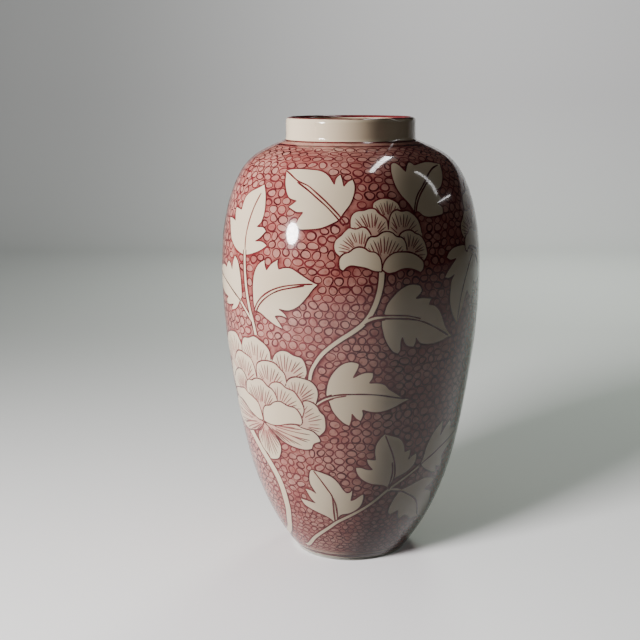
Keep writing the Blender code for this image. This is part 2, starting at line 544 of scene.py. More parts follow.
def eased(points, step=0.8):
    # a curve through the points: Hermite pieces over the square root of the chord, whose end directions
    # are the weighted mean of the two chords that meet there
    points = np.asarray(points, float)
    chords = np.linalg.norm(np.diff(points, axis=0), axis=1)
    if len(points) == 2:
        count = max(2, int(chords[0] / step) + 1)
        return points[0] + (points[1] - points[0]) * np.linspace(0, 1, count)[:, None]
    h = np.sqrt(np.maximum(chords, 1e-6))[:, None]
    rise = np.diff(points, axis=0) / h
    inner = (rise[:-1] * h[1:] + rise[1:] * h[:-1]) / (h[1:] + h[:-1])
    tangent = np.vstack([1.5 * rise[:1] - 0.5 * inner[:1], inner, 1.5 * rise[-1:] - 0.5 * inner[-1:]])
    pieces = []
    for k in range(len(points) - 1):
        t = np.linspace(0, 1, max(3, int(chords[k] / step) + 1))[:-1, None]
        pieces.append(
            (2 * t**3 - 3 * t**2 + 1) * points[k]
            + (t**3 - 2 * t**2 + t) * h[k] * tangent[k]
            + (3 * t**2 - 2 * t**3) * points[k + 1]
            + (t**3 - t**2) * h[k] * tangent[k + 1]
        )
    return np.vstack([*pieces, points[-1:]])


def closedStrokes(points):
    # the outline cut at its sharp points, each part eased by itself
    flat = flattened(points)
    sharp = [k for k, p in enumerate(points) if len(p) > 2]
    if not sharp:
        loop = np.vstack([flat[-2:], flat, flat[:3]])
        return [eased(loop)]
    strokes = []
    for start, end in zip(sharp, sharp[1:] + [sharp[0] + len(points)]):
        strokes.append(eased(flat[np.arange(start, end + 1) % len(flat)]))
    return strokes


def anticlockwise(loop):
    # twice the loop's area, the sum of x*y' - x'*y, is negative for a clockwise one, which is reversed
    x, y = loop.T
    return loop if (x * np.roll(y, -1) - np.roll(x, -1) * y).sum() > 0 else loop[::-1]


def loopOf(strokes):
    # the strokes one after another, each without its last point
    return np.vstack([stroke[:-1] for stroke in strokes])


def within(loop, points):
    # even-odd rule: how often a ray to the right crosses the loop
    x, y = points[:, 0][:, None], points[:, 1][:, None]
    a, b = loop, np.roll(loop, -1, 0)
    spans = (a[:, 1] > y) != (b[:, 1] > y)
    drop = np.where(b[:, 1] == a[:, 1], 1e-12, b[:, 1] - a[:, 1])
    crossing = a[:, 0] + (y - a[:, 1]) / drop * (b[:, 0] - a[:, 0])
    return (spans & (x < crossing)).sum(1) % 2 == 1


leaves = {
    "upperLeft": {
        "edge": [
            (-45, 259.5, 1), (-42, 253), (-40.8, 245), (-41, 240), (-42, 236), (-44.2, 233.5, 1),
            (-40, 233.5), (-38.4, 231, 1), (-42, 226), (-44.3, 224.5, 1), (-40, 224.7), (-37.2, 222.5, 1),
            (-39, 220.5), (-43, 217.5), (-47, 215.5), (-52, 214.5), (-58, 217), (-64, 223), (-67, 230),
            (-70, 236, 1), (-66, 236.3), (-62, 235, 1), (-63.5, 239), (-64, 243.5, 1), (-61, 243.3),
            (-58, 242.5, 1), (-57, 250.5), (-54, 254), (-50, 256.5),
        ],
        "ribs": [[(-45.5, 254), (-48, 246), (-50, 236), (-51, 226), (-50.8, 218)]],
    },
    "topMiddle": {
        "edge": [
            (-34.5, 268.5, 1), (-30, 269.5), (-20, 269.5), (-14, 268.5), (-10.5, 266), (-7.7, 261, 1),
            (-7, 265), (-5, 267, 1), (-4, 264), (-3.3, 260, 1), (-1.5, 262.8), (1, 264, 1), (2, 260),
            (1.5, 255), (0, 250), (-3, 244), (-5, 240), (-8, 237.5), (-12, 235), (-18, 233.8),
            (-22, 233.8), (-24, 236, 1), (-23, 240), (-21, 244, 1), (-24, 243.8), (-26, 245),
            (-28.5, 247, 1), (-26.5, 249), (-24.7, 250.8, 1), (-28.5, 252), (-30, 254), (-32, 259),
        ],
        "ribs": [
            [(-34, 268.1), (-31, 266.3), (-26, 262.7), (-20, 259.8), (-15, 255.3), (-10, 249.7),
             (-5, 242.8), (-2, 237.5)],
            [(-26, 261.9), (-20, 257.5), (-15, 252.7), (-10, 247.2), (-5, 240), (-3, 236.5)],
        ],
    },
    "topRight": {
        "edge": [
            (28.5, 243.5, 1), (26, 249), (23, 254), (21, 259), (20.2, 264), (20.3, 269), (21.5, 272.5),
            (24, 273.3), (26, 272), (28.3, 268, 1), (30, 271), (32.5, 273.3), (34.3, 273), (35.3, 271.5, 1),
            (40, 272.5), (45, 273), (50, 272.5), (56, 271, 1), (53, 266), (50, 261), (47, 257.5),
            (44, 256), (42, 255.3, 1), (43.5, 254), (45.5, 251, 1), (44, 249), (42.5, 247.5, 1),
            (44.8, 245.5), (44.5, 241.5), (41, 240.3), (36, 240), (33, 241), (30, 244),
        ],
        "ribs": [
            [(28.3, 243), (29.5, 249), (31.5, 254), (35, 258.5), (38, 262), (42, 266), (47, 269),
             (53, 270.5)],
            [(29.2, 243.5), (30.6, 249), (33, 254), (36.5, 258.5), (40, 262.3)],
        ],
    },
    "rightMiddle": {
        "edge": [
            (13.3, 182.5), (14.5, 188), (17, 193), (20, 197), (24, 199.8), (27, 199.8), (29.5, 198.5),
            (30.3, 195), (27.5, 190.8, 1), (31, 191), (35.5, 189.5, 1), (34.6, 188), (34, 186, 1),
            (37, 185), (40, 181), (42, 176), (44, 170), (47, 165), (50, 161.5, 1), (46, 162), (42, 160.5),
            (38, 159.7), (33, 160), (30, 161.5), (28.2, 165.3, 1), (28.2, 162), (27, 159.3, 1),
            (24, 160.5), (22.5, 163), (21.8, 166.5, 1), (21.3, 163), (21.2, 158), (20, 155.8, 1),
            (18, 157), (16, 160.5), (14, 166), (13, 171), (12.4, 177),
        ],
        "ribs": [
            [(5.5, 175.8), (9, 178.3), (13, 179.2), (18, 179), (24, 178), (30, 176), (36, 172), (42, 167),
             (46, 163.5)],
            [(7, 179.5), (9, 181), (13, 181.3), (18, 181), (24, 180), (30, 177.5)],
        ],
    },
    "middle": {
        "edge": [
            (-11, 131), (-10, 138), (-8, 144), (-5, 149), (-2, 151.5), (1, 152), (3.5, 150.5), (3, 147),
            (1, 141.5, 1), (4, 144), (7, 145), (9.5, 144.5, 1), (9.6, 141.5), (8, 137.8, 1), (12, 137.5),
            (15, 136), (17, 133), (20, 130), (23, 127), (28, 124.5, 1), (24, 122.5), (20, 120),
            (16, 118), (12, 117.3), (8, 118), (5.2, 119.5, 1), (5.7, 116), (4.5, 111.8, 1), (2.3, 113.5),
            (0.5, 117, 1), (0.3, 112), (-0.7, 108.5, 1), (-3, 110), (-6, 114), (-8.5, 119), (-9.8, 124.5),
            (-10.8, 128),
        ],
        "ribs": [
            [(-17, 122), (-12, 127), (-8, 129), (-4, 130), (2, 130.3), (8, 130), (14, 128.8), (20, 126.8),
             (25, 125.3)],
            [(-16, 120.5), (-12, 124.6), (-8, 127.3), (-2, 129.2)],
        ],
    },
    "leftMiddle": {
        "edge": [
            (-44.5, 180, 1), (-45.2, 190), (-45, 198), (-44, 205), (-42, 210), (-38, 214, 1),
            (-37.8, 210.5), (-37, 207.3, 1), (-34.8, 211.5), (-31, 215, 1), (-31.3, 211.8),
            (-30.8, 208.7, 1), (-28, 210), (-25, 210), (-20, 206), (-15, 202), (-13, 200.7, 1),
            (-15, 198), (-18, 192), (-21, 187), (-24, 184), (-27, 182.7), (-30.8, 183.5, 1),
            (-28.2, 181), (-26.5, 177.5, 1), (-29.7, 178.9), (-33, 178.5, 1), (-31, 175),
            (-29, 170.5, 1), (-33, 172.5), (-37, 175.5), (-41, 179),
        ],
        "ribs": [
            [(-15.5, 200.8), (-20, 200.3), (-25, 199.3), (-30, 197.5), (-35, 194.5), (-40, 189.5),
             (-43, 184.5), (-44.5, 180), (-45.3, 174)],
            [(-19, 199.6), (-25, 197.6), (-30, 195.6), (-34.5, 192.5), (-39, 187.8), (-42, 183),
             (-43.7, 178)],
        ],
    },
    "farLeft": {
        "edge": [
            (-54.5, 184, 1), (-53, 187), (-53, 195), (-54, 203), (-56, 210), (-59, 213, 1), (-60.8, 208.5),
            (-61.5, 203.5, 1), (-63.2, 207), (-65.5, 208.5, 1), (-67.5, 206.3), (-68.5, 203.5, 1),
            (-72, 205), (-78, 203), (-84, 199, 1), (-80, 190), (-72, 185), (-67, 184, 1), (-69.3, 182),
            (-69.5, 179, 1), (-66, 179), (-61, 180.5, 1), (-62.8, 178.5), (-63, 176, 1), (-58, 178.5),
        ],
        "ribs": [[(-53.5, 184), (-60, 189), (-67, 193.5), (-75, 196.5), (-82, 198.4)]],
    },
    "farRight": {
        "edge": [
            (66, 214, 1), (62, 217), (58, 220), (53, 220.5), (48, 219.5), (45, 217), (43.7, 214, 1),
            (46, 212), (50, 212.5, 1), (46, 208), (43.5, 204.5), (42.3, 201.5, 1), (45, 200.5),
            (48.5, 202.5, 1), (46.5, 199), (45.8, 193), (45.7, 186), (47, 179), (49.5, 173),
            (52, 169.5, 1), (54.5, 176), (57, 184), (59, 190, 1), (62, 185.5), (64.5, 184, 1),
            (65.8, 189), (66, 195, 1), (69, 193), (72.5, 195, 1), (72.3, 201), (71, 207), (68.5, 212),
        ],
        "ribs": [[(66, 214), (61, 207), (57, 198), (54, 188), (52.5, 178), (52, 172)]],
    },
    "lowLeft": {
        "edge": [
            (-20.5, 76, 1), (-15, 74.5), (-10, 72), (-6.5, 67.5), (-4, 62.5), (-2.7, 60.3, 1), (-1, 60.5),
            (1, 63, 1), (0.9, 58.5), (0, 54, 1), (2, 55), (5, 58), (7, 59, 1), (7.3, 56), (6, 50), (3, 46),
            (-1, 43.5), (-6, 42), (-9, 36.5, 1), (-11, 36), (-12, 37.5), (-15, 40), (-20, 42.5),
            (-25, 45), (-28.5, 47.5), (-30.6, 52.5, 1), (-25, 51.5), (-21, 50.3, 1), (-23.5, 53.5),
            (-25, 57.5), (-26, 61, 1), (-22, 60), (-19.7, 58, 1), (-21.3, 61.5), (-22.5, 65),
            (-22.7, 69), (-21.7, 74.5),
        ],
        "ribs": [
            [(-19.5, 75), (-16.5, 69.5), (-13, 62.5), (-10.5, 57), (-10.2, 50), (-10.2, 44), (-10, 37)],
            [(-11.3, 59), (-9, 52), (-8.4, 45), (-8.3, 38)],
        ],
    },
    "lowMiddle": {
        "edge": [
            (16, 102, 1), (14, 99.5), (12, 95), (11.5, 90), (12.3, 84, 1), (10, 84.5), (7.7, 85, 1),
            (8.4, 81), (11, 77, 1), (8, 77.5), (5, 79), (2.3, 79, 1), (2.5, 76), (4, 72), (7, 68.5),
            (11, 66), (15, 65), (18, 64), (20.5, 62, 1), (22.5, 66), (24, 68.5), (27, 70), (31, 72.5),
            (34.5, 76.5), (35.6, 81), (35, 85, 1), (32.3, 83.7), (30.5, 81.5, 1), (31.2, 85),
            (31, 88.5, 1), (29.5, 88.3), (27.8, 87.5, 1), (26.5, 94), (24, 98), (20, 100.5),
        ],
        "ribs": [
            [(16.5, 101), (18.5, 94.5), (20.5, 88.5), (22, 83), (23, 77), (23.4, 71), (22.3, 65),
             (21, 61)],
            [(21.2, 81), (22, 74), (21.4, 67), (20, 61.5)],
        ],
    },
    "lowRight": {
        "edge": [
            (27.5, 59.3, 1), (34, 61), (38, 62.5), (44, 64), (50, 63), (57, 59.5, 1), (52, 56.5),
            (48, 54, 1), (52, 52.5), (56, 50, 1), (59, 44), (60.5, 40), (61, 34), (60, 29, 1), (54, 30.5),
            (47, 32), (42, 33), (39, 35.5), (36, 37, 1), (34.3, 35.5), (32.5, 35, 1), (30.5, 38),
            (29.8, 42.5, 1), (27, 41), (25, 40, 1), (23, 42), (23, 46), (25, 53), (27, 57),
        ],
        "ribs": [[(22, 60), (30, 57.5), (35, 54), (40, 50), (44, 45), (47, 39.5), (50, 34), (55, 31)]],
    },
    "rightBranch": {
        "edge": [
            (39, 76, 1), (40, 80), (41, 88), (43, 94), (46, 99), (51, 104, 1), (51.6, 98), (51, 93, 1),
            (54, 98), (58, 102, 1), (60, 99), (60.5, 95, 1), (66, 94), (72, 90, 1), (66, 84), (60, 80),
            (57, 76, 1), (58.5, 72), (58, 68, 1), (55.5, 68.5), (53, 70, 1), (54, 67.5), (54, 65, 1),
            (50, 66), (48, 67.5), (44, 70), (41, 73),
        ],
        "ribs": [[(38, 74), (42, 77.5), (48, 81), (54, 84.5), (62, 88), (69, 90)]],
    },
}


def moved(points, turn, rise=0.0):
    # the points turned round and raised
    return [(p[0] + turn, p[1] + rise, *p[2:]) for p in points]


leaves["lowFarRight"] = {
    "edge": moved(leaves["lowLeft"]["edge"], 99, 2),
    "ribs": [moved(rib, 99, 2) for rib in leaves["lowLeft"]["ribs"]],
}

# A stem: its path, its width at the start and the end.
stems = {
    "bigPeony": ([(-64, 98), (-60, 92.5), (-57, 88), (-52, 80.5), (-47, 72), (-44, 65), (-42.5, 57),
                  (-42.5, 48), (-43.5, 40), (-46.5, 32), (-51, 24), (-57, 18.5), (-64, 14.5), (-70, 12),
                  (-78, 10.3)], 5.6, 3.6),
    "upperPeony": ([(12.5, 210), (12.2, 202), (11.3, 195), (9.5, 187), (7, 180), (4, 175), (0, 170.5),
                    (-4, 166.5), (-8, 162), (-12, 156.5), (-15, 150.5), (-17, 145), (-18, 139)], 3.5, 1.9),
    "leftTwig": ([(-51, 218), (-50, 200), (-49, 190), (-47.5, 180), (-46, 173), (-44.7, 164)], 1.9, 2.2),
    "farLeftStalk": ([(-54.5, 185), (-51, 180), (-46.5, 173)], 1.6, 1.6),
    "rightStalk": ([(14, 180.2), (9, 179.3), (5.5, 177)], 2.0, 1.9),
    "middleStalk": ([(-8, 128.4), (-12, 125.8), (-17, 120.5)], 1.9, 1.9),
    "lowBranch": ([(-42, 10.3), (-38, 11.5), (-34, 14.5), (-28, 20), (-20, 26.5), (-14, 31.5), (-9, 36),
                   (-4, 39.5), (2, 43.5), (8, 48), (14, 53.5), (20, 60), (26, 65), (32, 69.5),
                   (39, 75)], 2.4, 1.5),
    "lowRightStalk": ([(20.5, 60.2), (25, 60.4), (29, 58.6)], 1.4, 1.4),
    "farPeony": ([(75, 218), (74.5, 205), (75, 190), (77, 170), (81, 150), (88, 134), (98, 122),
                  (104, 116)], 3.4, 2.0),
    "farRightStalk": ([(65.5, 214.5), (70, 213), (74.8, 205)], 1.7, 1.7),
    "lowFarStalk": ([(90, 39), (92, 34), (96, 26), (101, 19), (108, 12.5)], 1.8, 2.2),
}

# A petal: its free edge, the points that close it, the place its veins start from, how many it has,
# and where along their way they start and stop. Petals are listed from the back to the front.
upperPeony = {
    "core": [(2, 243), (9, 247), (16, 247), (21, 245), (28, 242), (31, 231), (31, 226), (31, 213),
             (27, 212), (20, 212), (13, 211), (8, 213), (3, 215), (-3, 215), (-4, 222), (-2, 232)],
    "petals": [
        {"edge": [(9.3, 247), (9.6, 250), (12.5, 252.3), (16, 252.7), (19, 251.5), (21, 249.5), (22, 246)],
         "close": [(15.5, 238)], "from": (15.5, 238), "veins": 8, "span": (0.42, 0.86)},
        {"edge": [(-0.3, 236), (-0.2, 241), (1, 244), (3, 245.5), (5.5, 245.9), (8, 247), (10.5, 246.5),
                  (12, 244), (14, 242), (15.3, 240), (15.7, 234)],
         "close": [(9, 229)], "from": (9, 229), "veins": 10, "span": (0.45, 0.86)},
        {"edge": [(15.7, 235), (16.5, 241), (18, 244.5), (20, 245.7), (22.2, 244.8), (25, 245),
                  (27.5, 243), (29.5, 240), (30.5, 236.5), (31, 231)],
         "close": [(21, 229)], "from": (21.5, 229), "veins": 9, "span": (0.45, 0.86)},
        {"edge": [(-4.5, 218), (-6.5, 221), (-7, 224.5), (-6.3, 228), (-4, 231), (-2.5, 233.5),
                  (-0.8, 235.5), (2, 234.8), (5, 236), (7, 234.5), (8.6, 230)],
         "close": [(4, 219)], "from": (4, 220), "veins": 11, "span": (0.42, 0.87)},
        {"edge": [(20, 229), (21, 231.5), (23.5, 233.2), (26, 233), (28, 231), (30, 229.8), (32, 226),
                  (33, 221), (33.2, 217.5), (31, 213)],
         "close": [(24, 217)], "from": (24, 218), "veins": 10, "span": (0.42, 0.87)},
        {"edge": [(5.4, 222), (6.5, 227.5), (8, 230), (10.5, 230.3), (13, 232.5), (15.5, 233),
                  (17.5, 232), (19, 230), (21.5, 229), (23, 226), (23.5, 221)],
         "close": [(13, 210)], "from": (13, 211), "veins": 11, "span": (0.45, 0.88)},
        {"edge": [(-4.8, 213, 1), (-4.6, 217), (-3, 219.8), (-0.5, 221.2), (1, 223), (3.2, 224),
                  (5.5, 223.3), (7.5, 221.3), (10, 220.5), (11.7, 218), (12.5, 214), (12.5, 208.7, 1),
                  (9.5, 209), (6, 211), (3, 212), (0, 212.5), (-1.5, 211.5), (-3, 209.3, 1),
                  (-4.4, 210.6)], "whole": True},
        {"edge": [(12.6, 210, 1), (13.3, 214), (15, 217.5), (18, 220), (21, 220.3), (24, 220),
                  (27, 218.5), (29.5, 216), (31.2, 213), (31, 209), (29.5, 206.8, 1), (27, 208.5),
                  (24, 209.7), (21, 209.5), (18, 207.8), (15, 207.4)], "whole": True},
    ],
}

bigPeony = {
    "core": [(-70, 146), (-62, 152), (-56, 152), (-50, 150), (-44, 150), (-37, 150), (-32, 147),
             (-24, 142), (-19, 132), (-18, 122), (-18, 108), (-24, 106), (-30, 106), (-46.5, 104),
             (-60, 110), (-72, 116), (-76, 130)],
    "petals": [
        {"edge": [(-80, 146), (-78, 152), (-74, 157.5), (-70, 160), (-65, 161.5), (-61, 161.5),
                  (-58, 158), (-55.5, 151)],
         "close": [(-64, 134)], "from": (-64, 134), "veins": 8, "span": (0.5, 0.86)},
        {"edge": [(-56.5, 149), (-56, 155), (-54, 160), (-50, 161), (-46, 163), (-42, 161),
                  (-39, 158.5), (-37, 155), (-36.8, 149)],
         "close": [(-47, 133)], "from": (-47, 134), "veins": 10, "span": (0.56, 0.87)},
        {"edge": [(-36.5, 147), (-35.6, 150.5), (-34, 154), (-31, 156.5), (-28, 156.5), (-25, 154.5),
                  (-21, 153), (-19.5, 149), (-19, 143), (-20.5, 139)],
         "close": [(-30, 136)], "from": (-30, 136), "veins": 10, "span": (0.42, 0.87)},
        {"edge": [(-67, 141), (-62, 148.5), (-58, 150), (-54, 149), (-50, 147), (-48, 142),
                  (-47.3, 135)],
         "close": [(-57, 128)], "from": (-57, 128), "veins": 9, "span": (0.42, 0.86)},
        {"edge": [(-30.5, 131), (-28.5, 137.5), (-25, 140), (-21, 139.5), (-17.5, 138), (-15, 134),
                  (-14.5, 129), (-15.8, 122)],
         "close": [(-27, 121)], "from": (-26, 122), "veins": 9, "span": (0.4, 0.86)},
        {"edge": [(-46.8, 135), (-46, 144), (-43, 147), (-40, 148), (-35, 147.5), (-32, 144),
                  (-30, 141), (-29.3, 135)],
         "close": [(-40, 126)], "from": (-40, 127), "veins": 9, "span": (0.42, 0.86)},
        {"edge": [(-72, 128), (-68, 133), (-65, 135.5), (-61.5, 136.8), (-58, 135.5), (-55.3, 130)],
         "close": [(-60, 117)], "from": (-60, 118), "veins": 7, "span": (0.42, 0.85)},
        {"edge": [(-21.5, 120), (-22, 123.5), (-20, 124.6), (-17, 123.5), (-15, 121), (-14, 118),
                  (-12, 115), (-11.5, 110), (-12, 105), (-14.5, 101.2)],
         "close": [(-24, 103)], "from": (-27, 108), "veins": 8, "span": (0.5, 0.86)},
        {"edge": [(-41, 128), (-37.5, 133.5), (-33, 134.6), (-30, 131.8), (-26, 130), (-24, 126.5),
                  (-22.5, 123), (-21.6, 118), (-23, 112)],
         "close": [(-35, 112)], "from": (-36, 114), "veins": 10, "span": (0.45, 0.87)},
        {"edge": [(-57.5, 122), (-56.5, 129), (-54, 131.5), (-51.5, 131.7), (-49, 133.5), (-46, 134.3),
                  (-43, 133.5), (-41, 131), (-38, 129), (-36, 125), (-35.4, 119)],
         "close": [(-46.5, 106)], "from": (-46.5, 109), "veins": 12, "span": (0.42, 0.87)},
        {"edge": [(-46.5, 104, 1), (-36, 104.6), (-32, 106.4), (-27, 107), (-23, 105.2), (-18, 103.7),
                  (-15, 99.5), (-14.5, 97), (-16.5, 95.6, 1), (-18, 94.5), (-19, 91, 1), (-22, 89.8),
                  (-27, 90), (-32, 91.5), (-37, 94.5), (-41, 99)],
         "whole": True, "from": (-46.5, 104), "veins": 13, "span": (0.30, 0.86)},
        {"edge": [(-46.5, 104, 1), (-54, 107), (-62, 112.5), (-68, 115), (-75, 112.5), (-80, 105),
                  (-75, 98), (-70, 95.2, 1), (-65, 93), (-60, 94), (-53, 96.5), (-49, 100)],
         "whole": True, "from": (-46.5, 104), "veins": 14, "span": (0.30, 0.88)},
        {"edge": [(-46.5, 104, 1), (-49, 98.5), (-52, 96), (-53.7, 92), (-53, 88), (-51, 83.5),
                  (-48, 80.5), (-46.5, 77.5, 1), (-44, 77.8), (-40, 79.5), (-38.5, 82), (-37, 87),
                  (-37.3, 91), (-39, 95), (-42, 99.5)],
         "whole": True, "from": (-46, 103), "veins": 12, "span": (0.28, 0.88)},
        {"edge": [(-46.8, 105, 1), (-47.5, 112), (-49, 117), (-53, 120), (-57, 121.5), (-60, 123.5),
                  (-66, 122), (-72, 120), (-74, 117, 1), (-70, 114), (-66, 114), (-62, 112.5),
                  (-58, 109), (-54, 106.5), (-50, 104.7)], "whole": True},
        {"edge": [(-46.5, 105, 1), (-46, 112), (-44, 116), (-40.5, 117.5), (-38, 120), (-34, 121.5),
                  (-30, 119.5), (-26, 118.5), (-23.5, 114), (-23, 109), (-24, 107, 1), (-28, 107),
                  (-32, 106), (-36, 104.3), (-40, 103.5), (-44, 104)], "whole": True},
    ],
}


def movedFlower(flower, turn, rise):
    # a copy of a flower, turned round and raised
    petals = []
    for petal in flower["petals"]:
        copy = dict(petal)
        for key in ("edge", "close"):
            if key in petal:
                copy[key] = moved(petal[key], turn, rise)
        if "from" in petal:
            copy["from"] = moved([petal["from"]], turn, rise)[0]
        petals.append(copy)
    return {"core": moved(flower["core"], turn, rise), "petals": petals}


flowers = {
    "upper": upperPeony,
    "big": bigPeony,
    "farRight": movedFlower(upperPeony, 62.5, 6),
}

drawLook = {
    "lattice": 1.9,  # mm between the points inside a painted shape
    "edgeWidth": 0.95,
    "ribWidth": 1.0,
    "petalWidth": 0.95,
    "veinWidth": 0.68,
    "stemLine": 0.8,
    "swell": (0.13, 6.5),  # a slow wave in a line's width: its share of the width, and mm along the line
    "quiver": (0.08, 2.3),  # and a quick one
    "taperLength": 2.5,
    "veinStart": (-0.10, 0.03),  # by how much a vein's start and end stray, as shares of its way
    "veinEnd": (-0.07, 0.05),
    "veinBow": 0.03,
    "veinPoints": 14,
    "ringLift": 0.03,  # how far each layer of paint stands off the glaze
    "ringLineLift": 0.055,
    "leafLift": 0.085,
    "leafLineLift": 0.105,
    "stemLineLift": 0.125,
    "stemLift": 0.145,
    "ribLift": 0.165,
    "petalLift": 0.19,
    "petalLineLift": 0.215,
}

art = []  # every painted shape that the bubbles keep clear of
sheets = {"enamel": [], "petal": []}
ribbons = {"stem": [], "line": [], "vein": []}


def noteArt(flat, margin=0.0, closed=True):
    # keeps a shape's outline, its middle and its half sizes, for the bubbles and the pools of colour
    turns = flat[:, 0] / flatScale
    art.append(
        {
            "edge": np.stack([turns, flat[:, 1]], 1),
            "middle": ((turns.min() + turns.max()) / 2, (flat[:, 1].min() + flat[:, 1].max()) / 2),
            "half": (np.ptp(turns) / 2, np.ptp(flat[:, 1]) / 2),
            "margin": margin,
            "closed": closed,
        }
    )


def filled(loops):
    # flat triangles inside the loops with a triangular lattice of points in them, so that the shape can
    # follow the wall, and for each triangle the number of the last loop that covers it
    loops = [anticlockwise(loop) for loop in loops]
    allPoints = np.vstack(loops)
    low, high = allPoints.min(0), allPoints.max(0)
    gap = drawLook["lattice"]
    rows = np.arange(low[1], high[1], gap * 0.866)
    columns = np.arange(low[0], high[0], gap)
    lattice = np.stack(np.meshgrid(columns, rows), -1)
    lattice[1::2, :, 0] += gap / 2
    lattice = lattice.reshape(-1, 2)
    inside = np.any([within(loop, lattice) for loop in loops], 0)
    lattice = lattice[inside]
    away = np.ones(len(lattice), bool)
    for loop in loops:
        away &= np.linalg.norm(lattice[:, None] - loop[None], axis=2).min(1) > gap * 0.45
    lattice = lattice[away]
    starts = np.cumsum([0] + [len(loop) for loop in loops])
    faces = [list(range(a, b)) for a, b in zip(starts[:-1], starts[1:])]
    found = delaunay_2d_cdt([Vector(p) for p in np.vstack([allPoints, lattice])], [], faces, 1, 1e-5, True)
    places = np.array([tuple(p) for p in found[0]])
    triangles = np.array([f for f in found[2]])
    cover = np.array([max(f) if f else -1 for f in found[5]])
    return places, triangles[cover >= 0], cover[cover >= 0]


def addSheet(kind, flat, triangles, turn, lift, blush=None):
    # flat triangles laid on the wall
    places, facing = onWall(flat[:, 0] / flatScale + turn, flat[:, 1], lift)
    sheets[kind].append((places, facing, triangles, blush))


def addRibbon(kind, flat, width, turn, lift, taper=(0.25, 0.25), across=1, tone=None):
    # two edges half a width either side of a path, measured on the wall; the width swells a little
    # along the way and narrows to the taper's shares at both ends
    turns, heights = flat[:, 0] / flatScale, flat[:, 1]
    wide, tall = wallScale(heights)
    dx = np.gradient(turns) * wide
    dy = np.gradient(heights) * tall
    length = np.maximum(np.hypot(dx, dy), 1e-9)
    travelled = np.cumsum(length)
    share = travelled / travelled[-1]
    width = np.broadcast_to(np.asarray(width, float), share.shape)
    phase = draw.uniform(0, 2 * np.pi, 2)
    swell = 1
    for (strength, pace), begin in zip((drawLook["swell"], drawLook["quiver"]), phase):
        swell = swell + strength * np.sin(travelled / pace + begin)
    ends = np.minimum(
        taper[0] + (1 - taper[0]) * np.clip(travelled / drawLook["taperLength"], 0, 1),
        taper[1] + (1 - taper[1]) * np.clip((travelled[-1] - travelled) / drawLook["taperLength"], 0, 1),
    )
    half = width * swell * ends / 2 if across == 1 else width / 2
    steps = np.linspace(-1, 1, across + 1)[None, :]
    sideTurn = (-dy / length * half / wide)[:, None] * steps
    sideHeight = (dx / length * half / tall)[:, None] * steps
    places, facing = onWall(
        turns[:, None] + sideTurn + turn,
        heights[:, None] + sideHeight,
        lift,
    )
    count = len(turns)
    row = np.arange(count - 1)[:, None] * (across + 1)
    column = np.arange(across)[None, :]
    corner = row + column
    faces = np.stack([corner, corner + 1, corner + across + 2, corner + across + 1], -1).reshape(-1, 4)
    # the side direction turns with the path, so the faces are wound the way round that looks outwards
    faces = faces[:, ::-1]
    tones = np.repeat(np.broadcast_to(draw.uniform(0, 1) if tone is None else tone, count), across + 1)
    ribbons[kind].append((places.reshape(-1, 3), facing.reshape(-1, 3), faces, tones))


def drawLeaf(leaf, turn):
    # an ivory sheet, its outline stroke by stroke, and its ribs
    strokes = closedStrokes(leaf["edge"])
    loop = loopOf(strokes)
    flat, triangles, _ = filled([loop])
    addSheet("enamel", flat, triangles, turn, drawLook["leafLift"])
    noteArt(loop + (turn * flatScale, 0))
    for stroke in strokes:
        addRibbon("line", stroke, drawLook["edgeWidth"], turn, drawLook["leafLineLift"], (0.6, 0.6))
    for rib in leaf["ribs"]:
        path = eased(flattened(rib))
        addRibbon("line", path, drawLook["ribWidth"], turn, drawLook["ribLift"], (0.45, 0.8))


def offsetPath(flat, distance):
    # the path moved sideways on the wall
    wide, tall = wallScale(flat[:, 1])
    scale = np.stack([wide / flatScale, tall], 1)
    real = np.gradient(flat, axis=0) * scale
    real /= np.maximum(np.linalg.norm(real, axis=1), 1e-9)[:, None]
    side = np.stack([-real[:, 1], real[:, 0]], 1)
    return flat + side * np.asarray(distance)[:, None] / scale


def drawStem(path, startWidth, endWidth, turn):
    # an ivory ribbon with a brush line along each edge
    flat = eased(flattened(path))
    width = np.linspace(startWidth, endWidth, len(flat))
    addRibbon("stem", flat, width, turn, drawLook["stemLift"], across=4)
    for side in (-0.5, 0.5):
        # the line's inner half runs under the stem, so that stems that meet share one outline
        edge = offsetPath(flat, (width + drawLook["stemLine"]) * side)
        addRibbon("line", edge, drawLook["stemLine"] * 1.5, turn, drawLook["stemLineLift"], (0.8, 0.8))
    noteArt(flat + (turn * flatScale, 0), max(startWidth, endWidth) / 2, False)


def visibleRuns(flat, covers):
    # the stretches of a path that no later petal covers
    hidden = np.zeros(len(flat), bool)
    for cover in covers:
        hidden |= within(cover, flat)
    runs, start = [], None
    for k, isHidden in enumerate([*hidden, True]):
        if not isHidden and start is None:
            start = k
        if isHidden and start is not None:
            if k - start > 2:
                runs.append(flat[start:k])
            start = None
    return runs


def straight(points, step=1.0):
    # points at even steps along straight lines
    length = np.concatenate([[0], np.cumsum(np.linalg.norm(np.diff(points, axis=0), axis=1))])
    at = np.linspace(0, length[-1], int(length[-1] / step) + 2)
    return np.stack([np.interp(at, length, points[:, 0]), np.interp(at, length, points[:, 1])], 1)


def petalLoop(petal):
    # the free edge, closed by straight lines where the petals in front cover it
    if petal.get("whole"):
        return loopOf(closedStrokes(petal["edge"]))
    edge = eased(flattened(petal["edge"]))
    return np.vstack([edge, straight(np.vstack([edge[-1:], flattened(petal["close"]), edge[:1]]))[1:-1]])


